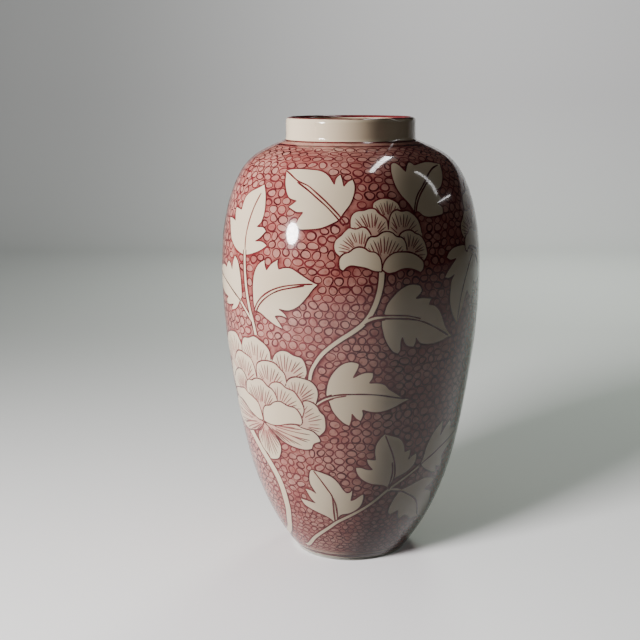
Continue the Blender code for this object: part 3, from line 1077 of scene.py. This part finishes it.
def drawFlower(flower, turn):
    # one sheet for the whole flower, then each petal's edge and veins, cut where a later petal covers them;
    # the blush falls off evenly with the distance from where the veins meet
    petals = flower["petals"]
    core = flattened(flower["core"])
    loops = [straight(np.vstack([core, core[:1]]))[:-1]] + [petalLoop(petal) for petal in petals]
    flat, triangles, cover = filled(loops)
    corners = flat[triangles.ravel()]
    covering = np.repeat(cover, 3)
    top = drawLook["petalLineLift"]
    blush = np.zeros(len(corners))
    for k, petal in enumerate(petals):
        if "from" in petal:
            mine = covering == k + 1
            root = flattened([petal["from"]])[0]
            reach = np.linalg.norm(loops[k + 1] - root, axis=1).max()
            blush[mine] = np.clip(1.05 - np.linalg.norm(corners[mine] - root, axis=1) / reach / 0.8, 0, 1)
    addSheet("petal", flat, triangles, turn, drawLook["petalLift"], blush)
    for k, petal in enumerate(petals):
        covers = loops[k + 2:]
        noteArt(loops[k + 1] + (turn * flatScale, 0))
        strokes = closedStrokes(petal["edge"]) if petal.get("whole") else [eased(flattened(petal["edge"]))]
        for stroke in strokes:
            for run in visibleRuns(stroke, covers):
                addRibbon("line", run, drawLook["petalWidth"], turn, top, (0.9, 0.9))
        if "veins" not in petal:
            continue
        root = flattened([petal["from"]])[0]
        edge = np.vstack(strokes)
        if petal.get("whole"):
            edge = edge[np.linalg.norm(edge - root, axis=1) > 9]
        picks = np.interp(
            np.linspace(0.06, 0.94, petal["veins"] + 2), np.linspace(0, 1, len(edge)), np.arange(len(edge))
        ).astype(int)
        for tip in edge[picks]:
            start = petal["span"][0] + draw.uniform(*drawLook["veinStart"])
            end = petal["span"][1] + draw.uniform(*drawLook["veinEnd"])
            share = np.linspace(start, end, drawLook["veinPoints"])[:, None]
            sideways = np.array([-(tip - root)[1], (tip - root)[0]])
            bow = sideways * draw.uniform(-drawLook["veinBow"], drawLook["veinBow"])
            path = root + (tip - root) * share + bow * np.sin(share * np.pi)
            for run in visibleRuns(path, covers):
                tone = np.linspace(0, 1, len(run)) ** 1.5 * draw.uniform(0.5, 1.2)
                addRibbon("vein", run, drawLook["veinWidth"], turn, top, (0.8, 0.3), 1, tone)


for halfTurn in (0, 180):
    for leaf in leaves.values():
        drawLeaf(leaf, halfTurn)
    for path, startWidth, endWidth in stems.values():
        drawStem(path, startWidth, endWidth, halfTurn)
    for flower in flowers.values():
        drawFlower(flower, halfTurn)
print("drawing:", len(art), "shapes,", len(ribbons["line"]), "lines,", len(ribbons["vein"]), "veins")


def nearestArt(turn, height, reach=9.0):
    # for each point the way to the nearest painted edge and its length, less than nothing inside a shape
    wide, tall = wallScale(height)
    gap = np.full(len(turn), reach)
    way = np.zeros((len(turn), 2))
    for shape in art:
        around = wrapped(turn - shape["middle"][0])
        close = np.flatnonzero(
            (np.abs(around) < shape["half"][0] + reach / wide)
            & (np.abs(height - shape["middle"][1]) < shape["half"][1] + reach)
        )
        if not len(close):
            continue
        local = np.stack([around[close] + shape["middle"][0], height[close]], 1)
        edge = shape["edge"]
        away = edge[None] - local[:, None]
        away *= np.stack([wide[close], tall[close]], 1)[:, None]
        length = np.hypot(away[..., 0], away[..., 1])
        pick = length.argmin(1)
        rows = np.arange(len(close))
        distance = length[rows, pick] - shape["margin"]
        if shape["closed"]:
            distance = np.where(within(edge, local), -distance, distance)
        better = distance < gap[close]
        gap[close[better]] = distance[better]
        way[close[better]] = away[rows, pick][better]
    return gap, way


ringLook = {
    "levels": (8.0, 40.0, 72.0, 250.0, 284.0),
    "across": (4.7, 5.3, 6.8, 6.9, 7.0),  # mm from one bubble to the next round the wall
    "along": (3.3, 4.0, 5.2, 5.3, 4.6),  # and from one row to the next
    "low": 10.6,  # the first and the last row
    "high": 281.0,
    "shake": (0.55, 0.4),  # mm round the wall and up it
    "sides": 14,
    "line": 0.84,
    "rounds": 9,
    "tall": 1.12,  # how much taller a bubble is than the step between rows
    "size": (0.88, 1.12),
    "squat": 0.06,
    "push": 0.45,  # share of an overlap that each round takes away
    "clear": 0.92,  # half heights kept between a bubble's middle and the drawing
    "smallest": 0.5,  # a bubble squeezed below this share is left out
    "waver": (0.10, 0.07),
    "tilt": 0.12,
    "thickSide": (0.30, 0.12),
    "thickness": (0.75, 1.25),
    "tone": (0.42, 0.27),
}


def ringLattice():
    # rows of places round the wall, each row half a step on from the last, all shaken a little
    turns, heights = [], []
    level, odd = ringLook["low"], 0.0
    while level < ringLook["high"]:
        wide, tall = wallScale(level)
        across = np.interp(level, ringLook["levels"], ringLook["across"])
        count = round(360 * float(wide) / across)
        turns.append((np.arange(count) + odd) / count * 360 - 180)
        heights.append(np.full(count, level))
        odd = 0.5 - odd
        level += float(np.interp(level, ringLook["levels"], ringLook["along"]) / tall)
    turns, heights = np.concatenate(turns), np.concatenate(heights)
    wide, tall = wallScale(heights)
    turns = wrapped(turns + draw.normal(0, ringLook["shake"][0], len(turns)) / wide)
    heights = heights + draw.normal(0, ringLook["shake"][1], len(turns)) / tall
    return turns, np.clip(heights, ringLook["low"], ringLook["high"])


def settledRings():
    # bubbles that overlap push each other apart, and those too near the drawing are pushed away from it
    turns, heights = ringLattice()
    gap, way = nearestArt(turns, heights)
    keep = gap > 0.4
    turns, heights = turns[keep], heights[keep]
    halfAcross = np.interp(heights, ringLook["levels"], ringLook["across"]) / 2
    halfAlong = np.interp(heights, ringLook["levels"], ringLook["along"]) / 2 * ringLook["tall"]
    size = draw.uniform(*ringLook["size"], len(turns))
    squat = draw.normal(1, ringLook["squat"], len(turns))
    halfAcross, halfAlong = halfAcross * size * squat, halfAlong * size / squat
    for turnOver in range(ringLook["rounds"]):
        wide, tall = wallScale(heights)
        dx = wrapped(turns[None] - turns[:, None]) * wide[:, None]
        dy = (heights[None] - heights[:, None]) * tall[:, None]
        u = dx / (halfAcross[None] + halfAcross[:, None])
        v = dy / (halfAlong[None] + halfAlong[:, None])
        spread = np.hypot(u, v)
        np.fill_diagonal(spread, 9)
        push = np.clip(1 - spread, 0, 1) / np.maximum(spread, 0.05) * ringLook["push"]
        moveX = -(push * dx).sum(1)
        moveY = -(push * dy).sum(1)
        if turnOver % 3 == 0:
            gap, way = nearestArt(turns, heights)
            length = np.maximum(np.linalg.norm(way, axis=1), 0.05)
        short = np.clip(halfAlong * ringLook["clear"] - gap, 0, 3) * 0.4
        moveX -= way[:, 0] / length * short
        moveY -= way[:, 1] / length * short
        turns = wrapped(turns + np.clip(moveX, -1, 1) / wide)
        heights = np.clip(heights + np.clip(moveY, -1, 1) / tall, ringLook["low"], ringLook["high"])
    gap, way = nearestArt(turns, heights)
    fit = np.clip((gap + 0.35) / halfAlong, 0, 1)
    keep = fit > ringLook["smallest"]
    return turns[keep], heights[keep], (halfAcross * fit)[keep], (halfAlong * fit)[keep]


def makeRings():
    # each bubble is an oval whose radius wavers by a second and a third wave round it; its line is the
    # band between it and the same oval drawn a little smaller, thicker on one side
    turns, heights, halfAcross, halfAlong = settledRings()
    wide, tall = wallScale(heights)
    count, sides = len(turns), ringLook["sides"]
    angle = np.arange(sides)[None] / sides * 2 * np.pi
    phase = draw.uniform(0, 2 * np.pi, (4, count, 1))
    waver = 1
    for wave, most, begin in zip((2, 3), ringLook["waver"], phase):
        waver = waver + draw.uniform(0, most, (count, 1)) * np.sin(wave * angle + begin)
    tilt = draw.normal(0, ringLook["tilt"], (count, 1))
    first, second = ringLook["thickSide"]
    thick = ringLook["line"] * (1 + first * np.sin(angle + phase[2]) + second * np.sin(2 * angle + phase[3]))
    thick = thick * draw.uniform(*ringLook["thickness"], (count, 1))
    thick = thick * np.clip(halfAlong / 2.6, 0.7, 1.1)[:, None]  # thinner on small bubbles

    def ovalAt(shrink, lift):
        # the ovals made smaller all round, turned by their tilt and laid on the wall
        x = (halfAcross[:, None] * waver * 0.99 - shrink) * np.cos(angle)
        y = (halfAlong[:, None] * waver * 0.99 - shrink) * np.sin(angle)
        px = x * np.cos(tilt) - y * np.sin(tilt)
        py = x * np.sin(tilt) + y * np.cos(tilt)
        return onWall(turns[:, None] + px / wide[:, None], heights[:, None] + py / tall[:, None], lift)

    middle, middleFacing = onWall(turns, heights, drawLook["ringLift"])
    rim, rimFacing = ovalAt(thick * 0.5, drawLook["ringLift"])
    places = np.concatenate([middle[:, None], rim], 1).reshape(-1, 3)
    facing = np.concatenate([middleFacing[:, None], rimFacing], 1).reshape(-1, 3)
    base = np.arange(count)[:, None] * (sides + 1)
    first = base + 1 + np.arange(sides)[None]
    second = base + 1 + (np.arange(sides)[None] + 1) % sides
    fans = np.stack([np.broadcast_to(base, first.shape), first, second], -1).reshape(-1, 3)
    tone = np.repeat(np.clip(draw.normal(*ringLook["tone"], count), 0, 1), sides + 1)
    putMesh("bubbleFills", places, fans, facing, ["bubble"], {"tone": tone})

    outer, outerFacing = ovalAt(0 * thick, drawLook["ringLineLift"])
    inner, innerFacing = ovalAt(thick, drawLook["ringLineLift"])
    places = np.concatenate([outer, inner], 1).reshape(-1, 3)
    facing = np.concatenate([outerFacing, innerFacing], 1).reshape(-1, 3)
    base = np.arange(count)[:, None] * (2 * sides)
    here = base + np.arange(sides)[None]
    after = base + (np.arange(sides)[None] + 1) % sides
    bands = np.stack([here, after, after + sides, here + sides], -1).reshape(-1, 4)
    tone = np.repeat(draw.uniform(0, 1, count), 2 * sides)
    putMesh("bubbleLines", places, bands, facing, ["line"], {"tone": tone})
    print("bubbles:", count)


makeRings()


def gathered(parts, marker):
    # several small surfaces as one
    starts = np.cumsum([0] + [len(part[0]) for part in parts[:-1]])
    places = np.concatenate([part[0] for part in parts])
    facing = np.concatenate([part[1] for part in parts])
    faces = np.concatenate([np.asarray(part[2]) + start for part, start in zip(parts, starts)])
    values = None
    if marker:
        values = {marker: np.concatenate([part[3] for part in parts])}
    return places, faces, facing, values


for name, kind, store, finish, marker in (
    ("leafSheets", "enamel", sheets, "enamel", None),
    ("petalSheets", "petal", sheets, "petal", "blush"),
    ("stemSheets", "stem", ribbons, "enamel", None),
    ("brushLines", "line", ribbons, "line", "tone"),
    ("veinLines", "vein", ribbons, "vein", "tone"),
):
    places, faces, facing, values = gathered(store[kind], marker)
    putMesh(name, places, faces, facing, [finish], values)


def poolMarks(places):
    # how much pigment has run together at distance d from a painted edge: e to the power -(d/reach)^1.5
    values = np.zeros(len(places))
    radius = np.hypot(places[:, 0], places[:, 1])
    outside = np.flatnonzero(radius > outline(places[:, 2])[0] - 0.2)
    turn = np.degrees(np.arctan2(places[outside, 0], -places[outside, 1]))
    gap, _ = nearestArt(turn, places[outside, 2])
    values[outside] = np.exp(-(np.clip(gap, 0, None) / washLook["poolReach"]) ** 1.5)
    return {"pool": values}


def wallBand(name, low, high, look, lift, waver, around=360):
    # a strip round the wall between two heights that both wander: three slow waves and eleven quick ones
    turn = np.arange(around) / around * 360 - 180
    phase = draw.uniform(0, 2 * np.pi, (4, 1))
    slow, quick = 3 * np.radians(turn), 11 * np.radians(turn)
    wander = waver * (0.6 * np.sin(slow + phase[:2]) + 0.4 * np.sin(quick + phase[2:]))
    rows = max(2, int((high - low) / 0.8) + 2)
    share = np.linspace(0, 1, rows)[:, None]
    heights = (low + wander[0]) * (1 - share) + (high + wander[1]) * share
    places, facing = onWall(turn, heights, lift)
    putMesh(name, places.reshape(-1, 3), gridFaces(rows, around), facing.reshape(-1, 3), [look],
            {"tone": np.full(rows * around, 0.6)})


def profileBand(name, run, look, lift, around=240):
    # a strip carried round along part of a profile, a little off it
    angle = np.arange(around) / around * 2 * np.pi
    places = carriedRound(run[0] + run[1] * lift, angle).reshape(-1, 3)
    facing = carriedRound(run[1], angle).reshape(-1, 3)
    putMesh(name, places, gridFaces(len(run[0]), around), facing, [look],
            {"tone": np.full(len(places), 0.5)})


neckLook = {
    "fillet": (2.1, 3.2),  # width and height of the hollow curve out of the shoulder
    "lip": (1.92, 3.2),
    "wall": 4.0,
    "below": 0.15,  # the lip ends this far under the CAD's top
    "around": 240,
    "seam": 0.03,  # the gap between two glazed sections where they meet
}


def makeLowerBody(seamInner):
    # the outside going up, the top of the wall, the inside going down, and the rim that rests on the foot
    outside = wallRun(footTop, seamHeight, bodyLook["step"])
    top = outside[0][-1]
    rim = (footLook["rimRadius"] + 0.2, footTop)
    inside = insideRun(footTop + 4, seamHeight - 1.0, (seamInner, seamHeight), (rim[0], footTop + 2.5))
    turnedPiece(
        "lowerGlaze",
        [(*outside, "wash"), (*line(top, inside[0][0]), "biscuit"), (*inside, "ivory"),
         (*line(inside[0][-1], rim), "ivory"), (*line(rim, outside[0][0]), "biscuit")],
        bodyLook["around"], ["lower_body"], poolMarks,
    )


def makeUpperBody(seamInner, bore, collarFoot):
    # the outside going up, the ledge that carries the neck, the inside going down, and the seam
    outside = wallRun(seamHeight + neckLook["seam"], neckFoot, bodyLook["step"])
    shoulder = outside[0][-1]
    ledge = (shoulder[0], collarFoot)
    edge = (bore, collarFoot - 0.4)
    inside = insideRun(seamHeight + 1.0, neckFoot - 3, (bore + 4.5, edge[1]), (seamInner, outside[0][0][1]))
    turnedPiece(
        "upperGlaze",
        [(*outside, "wash"), (*line(shoulder, ledge), "biscuit"),
         (*line(ledge, (bore, collarFoot)), "biscuit"), (*line((bore, collarFoot), edge), "ivory"),
         (*line(edge, inside[0][0]), "ivory"),
         (*inside, "ivory"), (*line(inside[0][-1], outside[0][0]), "biscuit")],
        bodyLook["around"], ["upper_body"], poolMarks,
    )


def makeNeck(outer, bore, collarFoot):
    # the collar: a hollow curve out of the shoulder, a straight side, a rounded lip and the bore
    fillet, lip = np.array(neckLook["fillet"]), np.array(neckLook["lip"])
    turn = np.array([outer, neckFoot]) + fillet
    crown = np.array([(outer + bore) / 2, neckTop - neckLook["below"] - lip[1]])
    foot = collarFoot + neckLook["seam"]
    ledge = float(outline(neckFoot)[0]) - neckLook["seam"]
    turnedPiece(
        "neckGlaze",
        [(*arc(turn, fillet, 270, 180, 10, True), "ivory"),
         (*line((outer, turn[1]), (outer, crown[1]), 8), "ivory"),
         (*arc(crown, lip, 0, 180, 26), "ivory"),
         (*line((bore, crown[1]), (bore, foot), 8), "ivory"),
         (*line((bore, foot), (ledge, foot)), "biscuit"),
         (*line((ledge, foot), (ledge, neckFoot)), "biscuit"),
         (*line((ledge, neckFoot), (turn[0], neckFoot)), "ivory")],
        neckLook["around"], ["neck_collar"],
    )
    profileBand("neckRootLine", arc(turn, fillet, 268, 225, 6, True), "line", 0.04)
    profileBand("lipLine", arc(crown, lip, 52, 150, 12), "line", 0.03)


footLook = {
    "bottom": 0.02,
    "toe": 1.0,  # how far the foot's two lower edges are rounded
    "bareTop": 2.6,  # glaze is wiped away below this
    "ledge": 4.5,
    "rimRadius": 37.7,
    "rimTop": 10.5,
    "gap": 0.3,
    "dish": 0.6,
    "around": 240,
}


def makeFoot():
    # a ring with a ledge, and the base disc on it, whose top is dished: z = top - dish*(1 - share^2)
    disc = [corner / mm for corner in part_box("base_disc")]
    discRadius, discLow, discHigh = disc[1].x, disc[0].z, disc[1].z
    bottom, toe, gap = footLook["bottom"], footLook["toe"], footLook["gap"]
    bore, seat = discRadius - footLook["ledge"], discRadius + gap
    low = wallRun(bottom + toe, footLook["bareTop"], 0.5)
    high = wallRun(footLook["bareTop"], footTop - neckLook["seam"], 0.7)
    corners = [
        tuple(high[0][-1]), (footLook["rimRadius"], footTop - neckLook["seam"]),
        (footLook["rimRadius"], footLook["rimTop"]), (seat, footLook["rimTop"]),
        (seat, discLow - gap), (bore, discLow - gap), (bore, bottom + toe),
    ]
    heel = low[0][0][0] - toe
    outerToe = arc((heel, bottom + toe), (toe, toe), 270, 360, 7)
    innerToe = arc((bore + toe, bottom + toe), (toe, toe), 180, 270, 7)
    turnedPiece(
        "footRing",
        [(*outerToe, "biscuit"), (*low, "biscuit"), (*high, "ivory")]
        + [(*line(a, b), "ivory") for a, b in zip(corners[:-1], corners[1:])]
        + [(*innerToe, "biscuit"), (*line((bore + toe, bottom), (heel, bottom), 3), "biscuit")],
        footLook["around"], ["foot_ring"],
    )
    share = np.linspace(1, 0, 12)
    dish = np.stack([discRadius * share, discHigh - footLook["dish"] * (1 - share**2)], 1)
    lean = np.stack([-2 * footLook["dish"] * share / discRadius, np.ones(12)], 1)
    turnedPiece(
        "floorDisc",
        [(*line((0, discLow), (discRadius, discLow), 4), "ivory"),
         (*line((discRadius, discLow), (discRadius, discHigh)), "ivory"), (dish, lean, "ivory"),
         (*line(dish[-1], (0, discLow)), "ivory")],
        footLook["around"] // 2, ["base_disc"],
    )


collarFoot = neckBox[0].z / mm
neckHeights, neckRadii = outwardPoints(["neck_collar"])
neckRadius = neckRadii[neckHeights > (neckFoot + neckTop) / 2].max()
neckBore = neckRadius - neckLook["wall"]
neckOuter = neckRadius - wallLook["inset"]
seamInner = float(outline(seamHeight)[0]) - bodyLook["wall"]
makeLowerBody(seamInner)
makeUpperBody(seamInner, neckBore, collarFoot)
makeNeck(neckOuter, neckBore, collarFoot)
makeFoot()

# Each band's low and high edge, its finish, its lift and how far its edges wander.
bands = {
    "shoulderPaleBand": (282.9, 284.1, "bubble", 0.05, 0.15),
    "shoulderThinLine": (282.0, 282.9, "line", 0.08, 0.12),
    "footThinLine": (7.6, 8.4, "line", 0.08, 0.2),
    "footPaleBand": (6.4, 7.4, "bubble", 0.05, 0.15),
    "footRedBand": (3.4, 6.0, "line", 0.06, 0.25),
}
for name, band in bands.items():
    wallBand(name, *band)

# From here on sizes are in metres.
studioLook = {
    "floorHalf": 3.0,
    "floorFront": -4.0,
    "wallDistance": 1.45,
    "cove": 0.6,
    "wallTop": 0.72,
    "cloth": (0.84, 0.85, 0.84, 1),
    # painted shade: the cloth's colour darkens towards this tone going back and to the left, standing in for
    # the light falling off there
    "paintedClothShade": (0.27, 0.285, 0.275, 1),
    "shadeBack": (-0.3, 0.65),  # the shade deepens between these, going back
    "shadeAside": (-0.7, 0.4),  # and fades between these, going right
    "shadeMost": 0.75,
    "shadeLost": 0.66,
    "clothGlow": 0.04,  # the cloth's own faint light, which keeps its shadows soft
    "air": 0.02,
    "airTint": (0.9, 0.95, 0.92, 1),
}


def makeFloor():
    # a floor that sweeps up into a wall behind: a straight line, a quarter circle and a straight line, all
    # repeated across
    cove, back = studioLook["cove"], studioLook["wallDistance"]
    angle = np.radians(np.linspace(270, 360, 24))
    profile = np.vstack([
        [(studioLook["floorFront"], 0.0)],
        np.stack([back + cove * np.cos(angle), cove + cove * np.sin(angle)], 1),
        [(back + cove, studioLook["wallTop"])],
    ])
    across = np.linspace(-studioLook["floorHalf"], studioLook["floorHalf"], 7)
    places = np.stack([
        np.broadcast_to(across, (len(profile), 7)),
        np.repeat(profile[:, :1], 7, 1),
        np.repeat(profile[:, 1:], 7, 1),
    ], -1).reshape(-1, 3)
    row = np.arange(len(profile) - 1)[:, None] * 7
    column = np.arange(6)[None]
    faces = np.stack([row + column, row + column + 1, row + column + 8, row + column + 7], -1).reshape(-1, 4)
    mesh = bpy.data.meshes.new("studioFloor")
    mesh.from_pydata(places.tolist(), [], faces.tolist())
    mesh.shade_smooth()
    recipe = Recipe("paleCloth")
    aside = recipe.node("ShaderNodeSeparateXYZ", {}, {"Vector": recipe.here()}, "X")
    behind = recipe.node("ShaderNodeSeparateXYZ", {}, {"Vector": recipe.here()}, "Y")
    # painted shade mixed into the cloth's colour: darker going back, and less so towards the right
    fade = aside.between(*studioLook["shadeAside"]) * studioLook["shadeLost"]
    shade = behind.between(*studioLook["shadeBack"]) * (studioLook["shadeMost"] - fade)
    cloth = recipe.blend(studioLook["cloth"], studioLook["paintedClothShade"], shade)
    mesh.materials.append(recipe.finish({
        "Base Color": cloth, "Roughness": 0.85,
        "Emission Color": cloth, "Emission Strength": studioLook["clothGlow"],
    }))
    floor = bpy.data.objects.new("studioFloor", mesh)
    floor.visible_diffuse = False  # the cloth is lit but throws no light back on the vase's dark side
    bpy.context.scene.collection.objects.link(floor)
    return floor


def groupOf(name, piece, link):
    # what a lamp falls on: this piece alone, or all but it
    group = bpy.data.collections.new(name)
    group.objects.link(piece)
    group.collection_objects[0].light_linking.link_state = link
    return group


cloth = makeFloor()
reached = {"cloth": groupOf("clothOnly", cloth, "INCLUDE"), "vase": groupOf("vaseOnly", cloth, "EXCLUDE")}
belly = (0, 0, 0.18)
rosy, leafy = (1.0, 0.955, 0.97), (0.88, 1.0, 0.87)

# Each lamp's long side from start to end, its width and power; lights=False leaves only its glint, and
# glints=False only its light.
lamps = {
    "window": {"start": (-1.08, -0.85, 0.36), "end": (-1.08, -0.85, 0.60), "width": 0.27, "power": 29.0,
               "shape": "ELLIPSE", "lights": False},
    "key": {"start": (-1.30, -0.53, 0.38), "end": (-1.30, -0.53, 0.64), "width": 0.28, "power": 31.0,
            "glints": False, "falls": "vase"},
    "side": {"start": (-1.35, 0.0, 0.25), "end": (-1.35, 0.0, 1.05), "width": 0.8, "power": 26.0,
             "glints": False, "falls": "vase"},
    "rear": {"start": (-0.5, 1.35, 0.6), "end": (0.3, 1.35, 0.6), "width": 0.6, "power": 12.0,
             "glints": False, "falls": "vase"},
    "fill": {"start": (-0.3, -1.2, 0.1), "end": (0.5, -1.2, 0.1), "width": 0.5, "power": 1.0,
             "glints": False, "falls": "vase"},
    "tube": {"start": (0.37, -0.48, 1.62), "end": (0.40, 0.75, 1.60), "width": 0.09, "power": 11.0,
             "lights": False},
    "strip": {"start": (0.96, 0.08, 1.31), "end": (1.35, 0.05, 0.77), "width": 0.09, "power": 1.5,
              "lights": False},
    "glint": {"start": (1.40, -0.02, 0.68), "end": (1.30, 0.48, 0.62), "width": 0.014, "power": 0.38,
              "lights": False},
    "sky": {"start": (-1.4, 0.9, 2.3), "end": (0.6, 0.9, 2.3), "width": 1.4, "power": 7.0,
            "target": (-0.2, 0.6, 0), "glints": False, "falls": "vase"},
    "clothKey": {"start": (-0.70, -0.82, 0.53), "end": (-0.70, -0.82, 0.90), "width": 0.36, "power": 42.0,
                 "target": (0.1, 0.1, 0), "glints": False, "falls": "cloth", "tint": rosy},
    "clothRear": {"start": (0.1, 1.25, 1.1), "end": (0.5, 1.25, 1.1), "width": 0.4, "power": 9.0,
                  "target": (0, 0, 0), "glints": False, "falls": "cloth", "tint": leafy},
    "clothSky": {"start": (-0.8, -0.3, 2.3), "end": (0.8, -0.3, 2.3), "width": 1.4, "power": 4.5,
                 "target": (0, 0.6, 0), "glints": False, "falls": "cloth"},
    "clothWall": {"start": (-0.7, 1.0, 1.2), "end": (1.1, 1.0, 1.2), "width": 0.6, "power": 10.0,
                  "target": (0.2, 2.05, 0.95), "glints": False, "falls": "cloth"},
}


def addLamp(name, start, end, width, power, target=belly, shape="RECTANGLE", lights=True, glints=True,
            falls=None, tint=(1, 1, 1)):
    # a panel whose long side runs from start to end and which faces the target
    start, end, target = Vector(start), Vector(end), Vector(target)
    middle = (start + end) / 2
    along = (end - start).normalized()
    back = middle - target
    back = (back - along * back.dot(along)).normalized()
    data = bpy.data.lights.new(name, "AREA")
    data.shape = shape
    data.size = (end - start).length
    data.size_y = width
    data.energy = power
    data.color = tint
    lamp = bpy.data.objects.new(name, data)
    lamp.matrix_world = Matrix((along, back.cross(along), back)).transposed().to_4x4()
    lamp.location = middle
    lamp.visible_diffuse = lights
    lamp.visible_glossy = glints
    lamp.light_linking.receiver_collection = reached.get(falls)
    bpy.context.scene.collection.objects.link(lamp)


for name, lamp in lamps.items():
    addLamp(name, **lamp)
print("studio:", len(lamps), "lamps")

world = bpy.data.worlds.new("studioAir")
world.use_nodes = True
air = world.node_tree.nodes["Background"].inputs
air["Color"].default_value = studioLook["airTint"]
air["Strength"].default_value = studioLook["air"]
bpy.context.scene.world = world

cameraLook = {
    "place": (0.0, -0.780, 0.3212),
    "tilt": 78.397,  # degrees from straight down
    "lens": 64.64,
    "shift": -0.04825,
}
cameraData = bpy.data.cameras.new("camera")
cameraData.lens = cameraLook["lens"]
cameraData.shift_x = cameraLook["shift"]
camera = bpy.data.objects.new("camera", cameraData)
camera.location = cameraLook["place"]
camera.rotation_euler = (math.radians(cameraLook["tilt"]), 0, 0)
bpy.context.scene.collection.objects.link(camera)
bpy.context.scene.camera = camera
